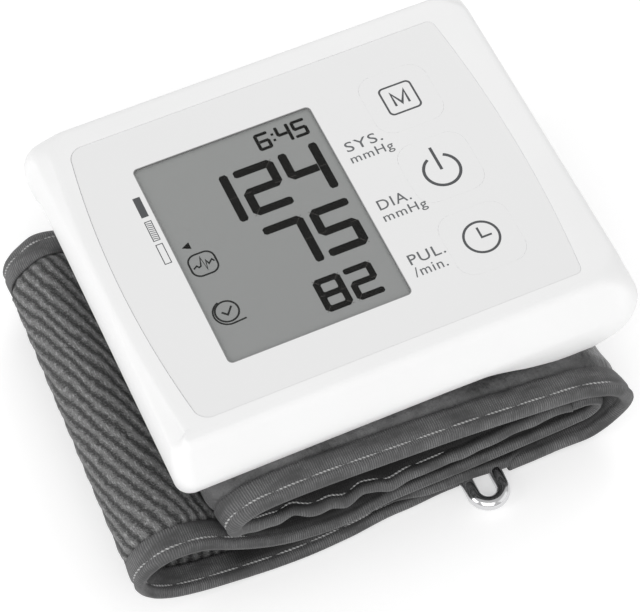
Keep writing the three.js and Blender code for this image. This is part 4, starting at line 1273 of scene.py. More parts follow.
@dataclass
class Face:
    """The label with its print, the display behind its window, and the three keys."""

    margin: float = 0.2 * MM
    recess_margin: float = 0.24 * MM
    film_edge: float = 0.004 * MM
    glass_edge: float = 0.03 * MM
    panel_edge: float = 0.02 * MM
    key_edge: float = 0.003 * MM
    gap_shade_drop: float = 0.01 * MM
    stem_drop: float = 0.05 * MM
    stem_reach: float = 4 * MM
    letter_gap: float = 1.12
    letter_weight: float = 0.004
    label_shift: float = 0.03 * MM
    key_margin: float = 0.005 * MM
    pocket_margin: float = 0.1 * MM
    gap: float = 0.3 * MM
    label_corners: Point = (2.1 * MM, 0.9 * MM)
    label_rear: float = 0.35 * MM
    label_bow: Point = (2.5 * MM, 1.9 * MM)
    window_corner: float = 1.0 * MM
    key_corner: float = 3.3 * MM
    gap_shade: float = 0.13 * MM
    display_depth: float = 0.42 * MM
    film: float = 0.38 * MM
    ink: float = 0.012 * MM
    lean: Point = (0.257, 0.567)

    def __post_init__(self) -> None:
        """Takes the face's places from the frame."""
        self.low, self.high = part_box("face_label")
        self.top = self.high.z
        low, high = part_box("display_window")
        self.window_middle = self.middle("display_window")
        self.window_size = tuple(high[i] - low[i] + 2 * self.gap for i in (0, 1))
        self.keys = {name: self.middle(f"{name}_key") for name in ("memory", "power", "clock")}

    @staticmethod
    def middle(node: str) -> Point:
        """The middle of a node in plan."""
        low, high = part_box(node)
        return ((low.x + high.x) / 2, (low.y + high.y) / 2)

    def key_size(self) -> float:
        """The width of a key's opening in the label."""
        low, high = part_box("memory_key")
        return high.x - low.x + 2 * self.gap

    def build(self) -> None:
        """Makes and dresses the face's pieces."""
        self.label()
        self.display()
        self.key_caps()
        self.label_print()
        self.display_print()

    def label_outline(self, margin: float) -> list[Point]:
        """The label's outline, widened by a margin.

        Args:
            margin: how much wider it is all round.

        Returns:
            The outline's points.
        """
        bow = self.label_bow
        size = (self.high.x - self.low.x - sum(bow), self.high.y - self.low.y)
        middle = (
            (self.low.x + bow[0] + self.high.x - bow[1]) / 2,
            (self.low.y + self.high.y + self.label_rear) / 2,
        )
        wide = size[0] + 2 * margin
        deep = size[1] + 2 * margin + self.label_rear
        corners = tuple(corner + margin for corner in self.label_corners)
        return rounded_outline(middle, (wide, deep), corners, bow)

    def label(self) -> None:
        """The film on the case, with its openings."""
        window = rounded_outline(self.window_middle, self.window_size, self.window_corner)
        side = self.key_size()
        openings = [
            rounded_outline(place, (side, side), self.key_corner) for place in self.keys.values()
        ]
        shift = self.label_shift
        outline = [(x + shift, y + shift) for x, y in self.label_outline(self.margin)]
        outlines = [outline, window, *openings]
        label = flat_piece("face_film_label", outlines, self.low.z, self.top, self.film_edge)
        dressed(label, FACE_FILM, replaces=["face_label"])

    def display(self) -> None:
        """The display, a dark ring of painted shade round it for the shadow in the gap, and the
        clear window.
        """
        width, depth = self.window_size
        inner = (width - 2 * self.gap_shade, depth - 2 * self.gap_shade)
        edge = rounded_outline(self.window_middle, self.window_size, self.window_corner)
        hole = rounded_outline(self.window_middle, inner, self.window_corner - self.gap_shade)
        surface = self.top - self.display_depth
        lcd_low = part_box("lcd_panel")[0].z
        # Painted shade: a dark ring stands for the shadow in the gap round the window.
        gap_shade = flat_piece("window_gap_shade", [edge, hole], self.low.z, self.top - self.gap_shade_drop)
        dressed(gap_shade, PAINTED_GAP_SHADE)
        panel = flat_piece("display_panel", [hole], lcd_low, surface, self.panel_edge)
        dressed(panel, DISPLAY_GREY, replaces=["lcd_panel"])
        film = flat_piece("window_film", [hole], self.top - self.film, self.top, self.glass_edge)
        dressed(film, WINDOW_FILM, replaces=["display_window"])

    def key_caps(self) -> None:
        """The keys, each widened to lie close in its opening."""
        for name, (x, y) in self.keys.items():
            cap = merged_copy(f"{name}_key", f"{name}_cap")
            low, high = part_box(f"{name}_key")
            core = (high.x - low.x) / 2 - (self.key_corner - self.gap)
            wider = self.gap - self.key_margin
            stem_top = self.low.z - self.stem_drop
            for vertex in cap.data.vertices:
                away = vertex.co.xy - Vector((x, y))
                if vertex.co.z > stem_top and away.length > self.stem_reach:
                    within = Vector([max(-core, min(core, side)) for side in away])
                    vertex.co.xy = vertex.co.xy + (away - within).normalized() * wider
            bevelled(cap, self.key_edge)
            dressed(cap, FACE_FILM, Body[name.upper()], [f"{name}_key"])

    def printed(
        self, name: str, outlines: Outlines, finish: Finish, body: Body = Body.HOUSING
    ) -> None:
        """A layer of ink on the face."""
        layer = flat_piece(name, outlines, self.top, self.top + self.ink)
        dressed(layer, finish, body)

    def words(self, name: str, text: str, start: Point, size: Point) -> None:
        """Printed letters, fitted between their left end, baseline, width and full height.

        Args:
            name: the piece's name.
            text: the letters.
            start: left end and lowest point of the letters.
            size: width and height of the letters.
        """
        bpy.ops.object.text_add(location=(0.0, 0.0, 0.0))
        letters = bpy.context.view_layer.objects.active
        letters.name = name
        letters.data.body = text
        letters.data.space_character = self.letter_gap
        letters.data.offset = self.letter_weight
        letters.data.resolution_u = 4
        select_only(letters)
        bpy.ops.object.convert(target="MESH")
        piece = bpy.context.view_layer.objects.active
        piece.data.name = name
        points = [vertex.co for vertex in piece.data.vertices]
        low = Vector((min(p.x for p in points), min(p.y for p in points)))
        high = Vector((max(p.x for p in points), max(p.y for p in points)))
        for vertex in piece.data.vertices:
            x = start[0] + (vertex.co.x - low.x) / (high.x - low.x) * size[0]
            y = start[1] + (vertex.co.y - low.y) / (high.y - low.y) * size[1]
            vertex.co = (x, y, self.top + self.ink)
        dressed(piece, PALE_INK)

    def label_print(self) -> None:
        """The print on the label and the keys."""
        for name, top in (("solid_bar", 15.0), ("hatched_bar", 9.6), ("open_bar", 4.4)):
            self.bar_mark(name, mm(-30.4, top), mm(1.35, 4.45))
        words = (
            ("upper_value_name", "SYS.", (8.3, 8.45), (7.0, 2.15)),
            ("upper_value_unit", "mmHg", (8.1, 5.35), (8.25, 2.4)),
            ("lower_value_name", "DIA.", (8.3, -5.2), (6.15, 2.15)),
            ("lower_value_unit", "mmHg", (8.1, -8.3), (8.25, 2.4)),
            ("pulse_value_name", "PUL.", (8.3, -17.75), (6.75, 2.15)),
            ("pulse_value_unit", "/min.", (8.1, -20.35), (6.2, 2.0)),
        )
        for name, text, start, size in words:
            self.words(name, text, mm(*start), mm(*size))
        self.memory_mark()
        self.power_mark()
        self.clock_mark()

    def bar_mark(self, name: str, corner: Point, size: Point) -> None:
        """One of the three marks beside the display: solid, hatched or open.

        Args:
            name: which of them it is.
            corner: its upper left corner.
            size: width and height.
        """
        x, y = corner
        wide, tall = size
        line = 0.16 * MM
        outer = [(x, y), (x, y - tall), (x + wide, y - tall), (x + wide, y)]
        if name == "solid_bar":
            self.printed(name, [outer], PRINT_INK)
            return
        left, right, low = x + line, x + wide - line, y - tall + line
        inner = [(left, y - line), (right, y - line), (right, low), (left, low)]
        self.printed(name, [outer, inner], PRINT_INK)
        if name == "open_bar":
            return
        rows = 9
        step = (tall - 4 * line) / rows
        left, right = x + 1.5 * line, x + wide - 1.5 * line
        corners = ((left, 0.55), (right, 1), (right, 0.6), (left, 0.15))
        levels = [y - 2 * line - i * step for i in range(rows)]
        stripes = [[(side, level - step * drop) for side, drop in corners] for level in levels]
        self.printed(f"{name}_lines", stripes, PALE_INK)

    def memory_mark(self) -> None:
        """The letter M in a rounded square."""
        middle = mm(21.9, 15.6)
        size, line = mm(6.45, 0.36)
        outer = rounded_outline(middle, (size, size), 1.0 * MM)
        inner = rounded_outline(middle, (size - 2 * line, size - 2 * line), 0.7 * MM)
        self.printed("memory_frame", [outer, inner], PRINT_INK, Body.MEMORY)
        corner = (middle[0] - 1.3 * MM, middle[1] - 1.45 * MM)
        corners = ((0, 0), (0, 2.9), (1.3, 0.35), (2.6, 2.9), (2.6, 0))
        letter = stroke(shifted(corners, corner), 0.44 * MM)
        self.printed("memory_letter", [letter], PRINT_INK, Body.MEMORY)

    def power_mark(self) -> None:
        """The broken ring and bar of a power key."""
        middle = mm(21.95, -1.75)
        ring = stroke(arc(middle, 3.3 * MM, 117, 423), 0.56 * MM)
        bar = stroke(shifted(((0, 0.1), (0, 5.2)), middle), 0.55 * MM)
        self.printed("power_ring", [ring], PRINT_INK, Body.POWER)
        self.printed("power_bar", [bar], PRINT_INK, Body.POWER)

    def clock_mark(self) -> None:
        """A ring with two hands."""
        middle = mm(22.0, -17.4)
        ring = ring_outlines(middle, 3.42 * MM, 0.46 * MM)
        self.printed("clock_ring", ring, PRINT_INK, Body.CLOCK)
        hands = stroke(shifted(((0, 2.1), (0, -0.1), (1.9, -0.1)), middle), 0.4 * MM)
        self.printed("clock_hands", [hands], PRINT_INK, Body.CLOCK)

    def shown(self, name: str, outlines: Outlines, finish: Finish, lift: float = 0.0) -> None:
        """Marks that the display shows, moved to where the eye meets them behind the film.

        Args:
            name: the piece's name.
            outlines: closed outlines.
            finish: the ink.
            lift: height above the display.
        """
        right, rear = (lean * self.display_depth for lean in self.lean)
        moved = [[(x + right, y + rear) for x, y in outline] for outline in outlines]
        surface = self.top - self.display_depth + lift
        layer = flat_piece(name, moved, surface, surface + self.ink)
        dressed(layer, finish)

    def display_print(self) -> None:
        """The figures and the signs on the display."""
        rows = (
            ("upper_figures", "124", (4.0, 2.62), (7.56, 10.5), (1.62, 8.65, 0.07)),
            ("lower_figures", "75", (4.0, -10.4), (7.56, 10.4), (1.62, 8.65, 0.07)),
            ("pulse_figures", "82", (2.12, -20.6), (5.15, 7.0), (1.2, 5.87, 0.07)),
            ("minute_figures", "45", (4.06, 15.1), (2.7, 3.8), (0.62, 3.1, 0.03)),
            ("hour_figure", "6", (-3.1, 15.1), (2.65, 3.8), (0.62, 3.1, 0.03)),
        )
        for name, text, corner, size, bar in rows:
            row = Digits(name, text, *mm(*corner), mm(*size), *mm(*bar))
            self.shown(row.name, row.outlines(), DISPLAY_INK)
            self.shown(f"{row.name}_seams", row.seams(), SEAM_INK, self.ink)
        dot = 0.5 * MM
        colon = [rounded_outline(mm(-2.4, y), (dot, dot), dot / 5, steps=3) for y in (17.7, 16.4)]
        self.shown("time_colon", colon, DISPLAY_INK)
        arrow = [mm(-26.5, 1.9), mm(-24.95, 1.15), mm(-24.95, 2.65)]
        self.shown("level_arrow", [arrow], DISPLAY_INK)
        self.pulse_sign(mm(-24.3, -2.5))
        self.cuff_sign(mm(-24.4, -13.1))

    def pulse_sign(self, middle: Point) -> None:
        """A heartbeat's trace in a rounded frame.

        Args:
            middle: the middle of the frame.
        """
        wide, deep, corner, line = mm(5.15, 4.95, 1.75, 0.34)
        outer = rounded_outline(middle, (wide, deep), corner)
        inner = rounded_outline(middle, (wide - 2 * line, deep - 2 * line), corner - line)
        self.shown("pulse_frame", [outer, inner], ICON_INK)
        before = [(-1.95, -0.45), (-1.25, 0.0), (-0.95, -0.45), (-0.55, -0.3)]
        beat = [(-0.05, 1.45), (0.3, -1.35), (0.65, 0.5)]
        after = [(0.95, -0.35), (1.7, 0.3), (2.05, -0.2)]
        trace = stroke(shifted(before + beat + after, middle), 0.3 * MM)
        self.shown("pulse_trace", [trace], ICON_INK)

    def cuff_sign(self, middle: Point) -> None:
        """A tick inside a wrapped band with a tail.

        Args:
            middle: the middle of the band.
        """
        self.shown("band_ring", ring_outlines(middle, 2.25 * MM, 0.34 * MM), ICON_INK)
        steps, inner, widening, start, turned = 30, 2.35, 0.3, 110, 5.3
        spiral = []
        for i in range(steps + 1):
            reach = (inner + widening * i / steps) * MM
            turn = math.radians(start + i * turned)
            spiral.append((middle[0] + reach * math.cos(turn), middle[1] + reach * math.sin(turn)))
        spiral += shifted([(2.6, -2.5)], middle)
        self.shown("band_tail", [stroke(spiral, 0.32 * MM)], ICON_INK)
        tick = shifted(((-0.95, 0.15), (-0.1, -0.7), (1.1, 0.75)), middle)
        self.shown("band_tick", [stroke(tick, 0.36 * MM)], ICON_INK)


class Route:
    """A smooth line through points in the XZ plane, measured along its length."""

    def __init__(self, points: Sequence[Vector], lowest: float) -> None:
        """Samples the line closely.

        Args:
            points: what the line runs through.
            lowest: the line's least height.
        """
        ends = [points[0] * 2 - points[1], *points, points[-1] * 2 - points[-2]]
        steps = 48
        self.samples: list[Vector] = []
        for a, b, c, d in zip(ends, ends[1:], ends[2:], ends[3:]):
            self.samples += [self.between(a, b, c, d, i / steps) for i in range(steps)]
        self.samples.append(points[-1].copy())
        for sample in self.samples:
            sample.z = max(sample.z, lowest)
        self.lengths = [0.0]
        for a, b in zip(self.samples, self.samples[1:]):
            self.lengths.append(self.lengths[-1] + (b - a).length)
        self.length = self.lengths[-1]

    @staticmethod
    def between(a: Vector, b: Vector, c: Vector, d: Vector, share: float) -> Vector:
        """A point of the centripetal curve between b and c.

        Args:
            a: the point before b.
            b: where the stretch begins.
            c: where it ends.
            d: the point after c.
            share: how far along the stretch.

        Returns:
            The point.
        """
        before, here, after = (math.sqrt((q - p).length) for p, q in ((a, b), (b, c), (c, d)))
        first = ((b - a) / before - (c - a) / (before + here) + (c - b) / here) * here
        second = ((c - b) / here - (d - b) / (here + after) + (d - c) / after) * here
        cubic = b * 2 - c * 2 + first + second
        square = c * 3 - b * 3 - first * 2 - second
        return b + first * share + square * share**2 + cubic * share**3

    def at(self, length: float) -> tuple[Vector, Vector]:
        """The point at a length along the line, and the normal that faces out of the roll.

        Args:
            length: from the line's start.

        Returns:
            The point and the normal.
        """
        i = min(max(bisect_right(self.lengths, length) - 1, 0), len(self.samples) - 2)
        span = self.lengths[i + 1] - self.lengths[i]
        share = (length - self.lengths[i]) / span if span > 0 else 0.0
        point = self.samples[i].lerp(self.samples[i + 1], min(max(share, 0.0), 1.0))
        ahead = self.samples[min(i + 4, len(self.samples) - 1)]
        behind = self.samples[max(i - 3, 0)]
        tangent = (ahead - behind).normalized()
        return point, Vector((tangent.z, 0.0, -tangent.x))


def ripple(along: float, across: float, long: float, wide: float, seed: float) -> float:
    """Smooth waves from -1 to 1, with their lengths along and across a band."""
    return noise.noise(Vector((along / long, across / wide, seed)))


@dataclass
class Band:
    """A strip of cloth along a route, its section drawn in lift from the route and place across."""

    route: Route
    front: float
    back: float
    drift: Callable[[Vector, float], Vector]

    def surface(self, along: float, across: float, lift: float) -> Vector:
        """A point on the band.

        Args:
            along: place along the route.
            across: place across the band.
            lift: height above the route.

        Returns:
            The point, with the band's drift.
        """
        point, normal = self.route.at(along)
        placed = Vector((point.x + normal.x * lift, across, point.z + normal.z * lift))
        share = (across - self.front) / (self.back - self.front)
        return placed + self.drift(point, share)

    def inset(self, across: float) -> float:
        """How far a place lies inside the nearer edge."""
        return min(across - self.front, self.back - across)

    def stations(self, step: float) -> list[float]:
        """Even steps along the route, as near to a step's length as they come."""
        count = max(4, round(self.route.length / step))
        return [self.route.length * i / count for i in range(count + 1)]

    def strip(self, name: str, section: Sequence[tuple[float, Offset]], step: float) -> Piece:
        """A closed strip of cloth.

        Args:
            name: the piece's name.
            section: closed loop of rows, each a place across and the lift as a function of both.
            step: distance between stations.

        Returns:
            The mesh object, with a UV map in metres.
        """
        stations = self.stations(step)
        verts: list[Vector] = []
        for along in stations:
            for across, lift in section:
                point = self.surface(along, across, lift(along, across))
                point.z = max(point.z, 0.0)
                verts.append(point)
        width = len(section)
        count = len(stations) - 1
        places = [0.0]
        for (a, _), (b, _) in zip(section, [*section[1:], section[0]]):
            places.append(places[-1] + max(abs(b - a), 0.2 * MM))
        faces, uvs = [], []
        for i in range(count):
            for j in range(width):
                k = (j + 1) % width
                here, after = i * width, (i + 1) * width
                faces.append((here + j, here + k, after + k, after + j))
                u0, u1, v0, v1 = stations[i], stations[i + 1], places[j], places[j + 1]
                uvs += [(u0, v0), (u0, v1), (u1, v1), (u1, v0)]
        faces.append(tuple(range(width)))
        faces.append(tuple(count * width + j for j in reversed(range(width))))
        uvs += [(stations[0], places[j]) for j in range(width)]
        uvs += [(stations[-1], places[j]) for j in reversed(range(width))]
        return soft_mesh(name, verts, faces, uvs)


def soft_mesh(
    name: str, verts: Sequence[Vector], faces: Sequence[Sequence[int]], uvs: Sequence[Point]
) -> Piece:
    """A smooth mesh with a UV map, its faces pointing outwards.

    Args:
        name: the piece's name.
        verts: its vertices.
        faces: the vertices of each face.
        uvs: a place in the UV map for each corner of each face.

    Returns:
        The mesh object.
    """
    mesh = bpy.data.meshes.new(name)
    mesh.from_pydata([tuple(v) for v in verts], [], faces)
    layer = mesh.uv_layers.new(name="UVMap")
    layer.data.foreach_set("uv", [value for uv in uvs for value in uv])
    mesh.shade_smooth()
    piece = linked(name, mesh)
    with editing(piece):
        bpy.ops.mesh.normals_make_consistent(inside=False)
    return piece


def marked(piece: Piece, name: str, values: Sequence[float]) -> None:
    """Keeps a value at each vertex for the finishes to read."""
    layer = piece.data.attributes.new(name, "FLOAT", "POINT")
    layer.data.foreach_set("value", values)


def level_points(
    shares: Sequence[Place], levels: Sequence[float], half: float, slack: float
) -> list[Vector]:
    """Points of a route from shares of the case's half width, of its levels and of the slack.

    Args:
        shares: rows of reach, level and looseness.
        levels: heights of the layers.
        half: half the case's width.
        slack: height that the folds share out.

    Returns:
        The points, in order.
    """
    points = []
    for reach, level, loose in shares:
        below = min(int(level), len(levels) - 2)
        height = levels[below] + (levels[below + 1] - levels[below]) * (level - below)
        points.append(Vector((reach * half, 0.0, height + loose * slack)))
    return points


SLEEVE_SHARES = (
    (0.436, 0, 0), (0.583, 0, 0), (0.711, 0, 0.01), (0.822, 0.2, 0),
    (0.91, 0.6, 0.048), (0.96, 1, 0.163), (0.932, 1.4, 0.313), (0.861, 1.7, 0.458),
    (0.748, 2, 0.532), (0.51, 2, 0.667), (0.198, 2, 0.809), (-0.105, 2, 0.901),
    (-0.403, 2, 0.979), (-0.608, 2, 1), (-0.741, 2, 0.957), (-0.822, 1.7, 0.905),
    (-0.844, 1.5, 0.794), (-0.816, 1.3, 0.691), (-0.734, 1, 0.631), (-0.606, 1, 0.532),
    (-0.401, 1, 0.426), (-0.096, 1, 0.319), (0.212, 1, 0.333), (0.522, 1, 0.433),
    (0.716, 1, 0.468),
)

STRAP_SHARES = (
    (0.712, 2, 0.468), (0.807, 1.9, 0.443), (0.856, 1.5, 0.383), (0.82, 1.1, 0.323),
    (0.723, 1, 0.298), (0.534, 1, 0.27), (0.219, 1, 0.241), (-0.093, 1, 0.234),
    (-0.303, 1, 0.184), (-0.42, 1, 0.191), (-0.559, 1, 0.27), (-0.665, 1, 0.397),
    (-0.76, 1, 0.567), (-0.856, 1, 0.78), (-0.923, 1, 0.95), (-0.993, 1, 1.064),
    (-1.109, 1, 1.106), (-1.203, 0.9, 0.962), (-1.242, 0.7, 0.715), (-1.21, 0.5, 0.447),
    (-1.126, 0.3, 0.25), (-0.993, 0.1, 0.123), (-0.816, 0, 0.035), (-0.676, 0, 0),
    (-0.466, 0, 0), (0, 0, 0), (0.207, 0, 0),
)


@dataclass
class Cuff:
    """The cuff: a padded sleeve and a strap of loop cloth, both bound with tape, and the ring."""

    half_case: float = Case.half[0] * MM
    slack: float = 14.1 * MM
    sleeve_thick: float = 4.2 * MM
    strap_thick: float = 2.6 * MM
    fabric: float = 0.6 * MM
    gap: float = 0.3 * MM
    tape: float = 0.4 * MM
    tongue: float = 0.9 * MM
    cover_lead: float = 0.3 * MM
    web_inset: float = 3.5 * MM
    flange: float = 5.6 * MM
    stitch_inset: float = 2.0 * MM
    stitch_length: float = 6.1 * MM
    stitch_gap: float = 0.55 * MM
    stitch_sink: float = 0.3 * MM
    stitch_sides: int = 6
    stitch_rings: int = 7
    thread: float = 0.21 * MM
    ring_reach: float = 0.8 * MM
    ring_shift: float = 0.3 * MM
    ring_wire: float = 2.7 * MM
    rib_pitch: float = 2.0 * MM
    rib_depth: float = 0.32 * MM
    rib_slant: float = math.radians(23)

    def __post_init__(self) -> None:
        """Works out both routes and the cuff's edges."""
        self.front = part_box("sleeve_front_binding")[0].y
        self.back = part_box("sleeve_back_binding")[1].y
        strap, sleeve = self.strap_thick, self.sleeve_thick
        strap_levels = (strap / 2, strap * 1.5, 2 * strap + sleeve / 2)
        sleeve_levels = (sleeve / 2, strap_levels[2], strap_levels[2] + sleeve)
        sleeve_points = level_points(SLEEVE_SHARES, sleeve_levels, self.half_case, self.slack)
        strap_points = level_points(STRAP_SHARES, strap_levels, self.half_case, self.slack)
        edges = (self.front, self.back)
        self.sleeve = Band(Route(sleeve_points, sleeve / 2), *edges, self.sleeve_drift)
        self.strap = Band(Route(strap_points, strap / 2), *edges, self.strap_drift)

    @staticmethod
    def sleeve_drift(point: Vector, share: float) -> Vector:
        """The folds lie a little askew, and the inner layer is crumpled in front.

        Args:
            point: where the route runs.
            share: place across the band, from 0 in front to 1 behind.

        Returns:
            How far the cloth lies from its plain place.
        """
        x, z, front = point.x / MM, point.z / MM, 1 - share
        fold = ramp(x, 28, 8)
        right = (1.0 - 0.5 * ramp(z, 11, -5) - 2.2 * ease(share / 0.17)) * ramp(x, 33, 8)
        left = 0.7 * ramp(x, -26, -8) * ease(1 - share / 0.1)
        top = ramp(z, 17, 3) * (1 - fold)
        lowest = ramp(z, 5, -2) * ramp(x, 10, 4)
        slipped = ramp(x, 36, -8) * lowest
        sunk = ramp(x, 34, -12) * lowest
        inner = ramp(z, 17, -3) * ramp(z, 8, 3) * ramp(abs(x), 34, -6)
        rim = ease(1 - share / 0.14)
        loose = 0.25 + 0.75 * ramp(x, 2, -8)
        crumple = inner * rim * (0.3 + 1.3 * loose * ripple(point.x, 0, 4.2 * MM, 1, 4.4))
        lifted = inner * rim * loose * ripple(point.x, 0, 3.1 * MM, 1, 7.7)
        forward = front * (1.15 * top + 1.3 * fold + 0.7 * slipped)
        return Vector((right + left, crumple - forward, lifted - 0.5 * front * sunk)) * MM

    @staticmethod
    def strap_drift(point: Vector, share: float) -> Vector:
        """The left loop is drawn in towards the rear, and the front edge bulges forward.

        Args:
            point: where the route runs.
            share: place across the band, from 0 in front to 1 behind.

        Returns:
            How far the cloth lies from its plain place.
        """
        x, z, front = point.x / MM, point.z / MM, 1 - share
        loop = ramp(x, -43, -8)
        forward = 0.6 * ramp(x, -4, -10)
        bulge = 0.6 * math.exp(-(((x + 22) / 10) ** 2)) - 0.4 * ramp(x, -2, 8)
        led = front * (forward + ramp(z, 7, -3) * bulge)
        return Vector(((2.1 * share - 0.1) * loop, -led, -share * share * loop)) * MM

    def build(self) -> None:
        """Makes and dresses the cuff's pieces."""
        cover = self.sleeve_cloth("cuff_cover_cloth", 1)
        dressed(cover, CUFF_NYLON, replaces=["cuff_cover"])
        lining = self.sleeve_cloth("cuff_lining_cloth", -1)
        dressed(lining, CUFF_NYLON, replaces=["cuff_lining"])
        strap = self.strap_cloth()
        dressed(strap, LOOP_CLOTH, replaces=["strap"])
        self.bind("sleeve", self.sleeve, 2 * self.fabric + self.gap)
        self.bind("strap", self.strap, self.tongue)
        self.follow("air_bladder", BLADDER_SKIN)
        self.follow("curler_sheet", NATURAL_NYLON)
        self.webbing("ring_tab")
        self.webbing("hook_tab")
        self.ring()
        self.ring_cover()

    def bind(self, name: str, band: Band, thick: float) -> None:
        """Binds both edges of a band with tape and stitches.

        Args:
            name: what the tapes' names begin with.
            band: the band.
            thick: how thick its edge is.
        """
        for side, inwards in (("front", 1), ("back", -1)):
            tape = self.binding(f"{name}_{side}_tape", band, thick, inwards)
            dressed(tape, EDGE_TAPE, replaces=[f"{name}_{side}_binding"])
            thread = self.stitches(f"{name}_{side}_stitches", band, thick, inwards)
            dressed(thread, PALE_THREAD)

    def follow(self, node: str, finish: Finish) -> None:
        """What lies inside the sleeve, moved along with its cloths.

        Args:
            node: the node inside.
            finish: its surface.
        """
        piece = merged_copy(node, f"{node}_inside")
        for vertex in piece.data.vertices:
            share = (vertex.co.y - self.front) / (self.back - self.front)
            vertex.co += self.sleeve_drift(vertex.co, share)
        smooth(piece, 50)
        dressed(piece, finish, replaces=[node])

    def sleeve_cloth(self, name: str, side: int) -> Piece:
        """One cloth of the sleeve, outside when side is 1 and towards the wrist when it is -1.

        Args:
            name: the piece's name.
            side: 1 or -1.

        Returns:
            The mesh object.
        """
        low = self.gap / 2
        high = self.sleeve_thick / 2 - self.fabric
        seam = self.flange + self.gap
        shoulder = 2.5 * MM
        band = self.sleeve

        def lift(along: float, across: float) -> float:
            """Height of the cloth's near face above the sleeve's middle.

            Args:
                along: place along the route.
                across: place across the band.

            Returns:
                The height.
            """
            edge = band.inset(across)
            near = 1 if across < (self.front + self.back) / 2 else -1
            pull = 0.35 * MM * ripple(along, near, 9 * MM, 1, 3.7)
            rise = min(max((edge - seam - pull) / shoulder, 0.0), 1.0)
            crown = math.sin(rise * math.pi / 2) ** 0.8
            fold = 0.5 + 0.5 * ripple(along, across, 13 * MM, 22 * MM, 9.1 * side)
            fading = math.exp(-max(edge - seam, 0.0) / (5 * MM))
            pucker = max(0.0, ripple(along, across, 4 * MM, 16 * MM, 5.3)) * fading
            return low + (high - low) * crown * (1 - 0.28 * fold - 0.35 * pucker)

        def outer(along: float, across: float) -> float:
            """Height of the cloth's far face."""
            return side * (lift(along, across) + self.fabric)

        def inner(along: float, across: float) -> float:
            """Height of the near face, kept clear of what lies inside."""
            crown = ramp(band.inset(across), seam, shoulder)
            return side * (low + (high - low) * crown)

        start = self.front + self.tape + self.gap
        close, edge_rows, middle_rows = 0.55 * MM, 21, 26
        near = [start + i * close for i in range(edge_rows)]
        rear = [self.front + self.back - y for y in reversed(near)]
        span = rear[0] - near[-1]
        middle = [near[-1] + span * i / middle_rows for i in range(1, middle_rows)]
        rows = [*near, *middle, *rear]
        under = rows[::4] if rows[-1] == rows[::4][-1] else [*rows[::4], rows[-1]]
        section = [(y, outer) for y in rows] + [(y, inner) for y in reversed(under)]
        return band.strip(name, section, 0.9 * MM)

    def cord(self, along: float, across: float) -> float:
        """How many cords of the loop cloth lie before a place, with their wavering."""
        run = along * math.cos(self.rib_slant) - across * math.sin(self.rib_slant)
        return run / self.rib_pitch + 0.36 * ripple(along, across, 4.5 * MM, 13.0 * MM, 1.3)

    def rib(self, along: float, across: float) -> float:
        """How far a cord of the loop cloth stands up, from 0 to 1."""
        return (0.5 + 0.5 * math.cos(FULL_TURN * self.cord(along, across))) ** 0.8

    def strap_cloth(self) -> Piece:
        """The strap: slanted cords on its outer face, thin tongues under the tapes.

        Returns:
            The mesh object.
        """
        thin = self.tongue / 2
        thick = self.strap_thick / 2
        seam = self.flange + self.gap
        inset = self.tape + self.gap

        def crown(across: float) -> float:
            """Half the thickness, thinner under the tape."""
            rise = (self.strap.inset(across) - seam + 0.4 * MM) / (1.3 * MM)
            return thin + (thick - thin) * ease(rise)

        def outer(along: float, across: float) -> float:
            """The piled face.

            Args:
                along: place along the route.
                across: place across the band.

            Returns:
                The height.
            """
            full = crown(across)
            share = (full - thin) / (thick - thin)
            fuzz = 0.09 * MM * ripple(along, across, 0.9 * MM, 0.9 * MM, 6.1)
            return full - share * (self.rib_depth * (1 - self.rib(along, across)) - fuzz)

        def inner(along: float, across: float) -> float:
            """The plain face."""
            return -crown(across)

        start, end = self.front + inset, self.back - inset
        count = round((end - start) / (0.62 * MM))
        rows = [start + (end - start) * i / count for i in range(count + 1)]
        under = [start + (end - start) * i / 16 for i in range(17)]
        section = [(y, outer) for y in rows] + [(y, inner) for y in reversed(under)]
        step = 0.6 * MM
        piece = self.strap.strip("strap_cloth", section, step)
        stations = self.strap.stations(step)
        marked(piece, "cord", [self.cord(along, y) for along in stations for y, _ in section])
        return piece

    def tape_profile(self, thick: float) -> list[Point]:
        """Half of a folded tape's outer face: distance from the edge and lift.

        Args:
            thick: how thick the bound edge is.

        Returns:
            Rows from the hem to the edge.
        """
        full = thick / 2 + self.gap + self.tape
        inset = self.stitch_inset
        return [
            (self.flange, full - 0.28 * MM),
            (self.flange - 0.12 * MM, full - 0.04 * MM),
            (self.flange - 0.7 * MM, full + 0.02 * MM),
            (inset + 1.9 * MM, full + 0.05 * MM),
            (inset + 0.8 * MM, full),
            (inset + 0.3 * MM, full - 0.16 * MM),
            (inset, full - 0.3 * MM),
            (inset - 0.35 * MM, full - 0.16 * MM),
            (inset - 0.9 * MM, full - 0.06 * MM),
            (inset - 1.4 * MM, full - 0.3 * MM),
            (0.25 * MM, full - 0.75 * MM),
            (0.03 * MM, full * 0.22),
        ]

    def binding(self, name: str, band: Band, thick: float, inwards: int) -> Piece:
        """A binding tape folded round one edge of a band.

        Args:
            name: the piece's name.
            band: the band that it binds.
            thick: how thick the bound edge is.
            inwards: 1 in front, -1 behind.

        Returns:
            The mesh object.
        """
        edge = self.front if inwards > 0 else self.back
        profile = self.tape_profile(thick)
        seed = 2.0 * inwards + len(name)

        def wave(along: float) -> float:
            """Slow waves along the tape."""
            return 0.14 * MM * ripple(along, 0.0, 8 * MM, 1, seed)

        def row(place: float, height: float) -> tuple[float, Offset]:
            """A row of the tape, wavering a little along its length.

            Args:
                place: distance from the edge.
                height: lift from the middle.

            Returns:
                The place across, and the lift along the tape.
            """
            loose = math.copysign(min(1.0, place / (2 * MM)), height)

            def lift(along: float, across: float) -> float:
                """Height with its waves and creases."""
                crease = 0.1 * MM * ripple(along, place, 2.6 * MM, 2 * MM, seed + 5)
                return height + (wave(along) * 0.6 + crease) * loose

            return (edge + inwards * place, lift)

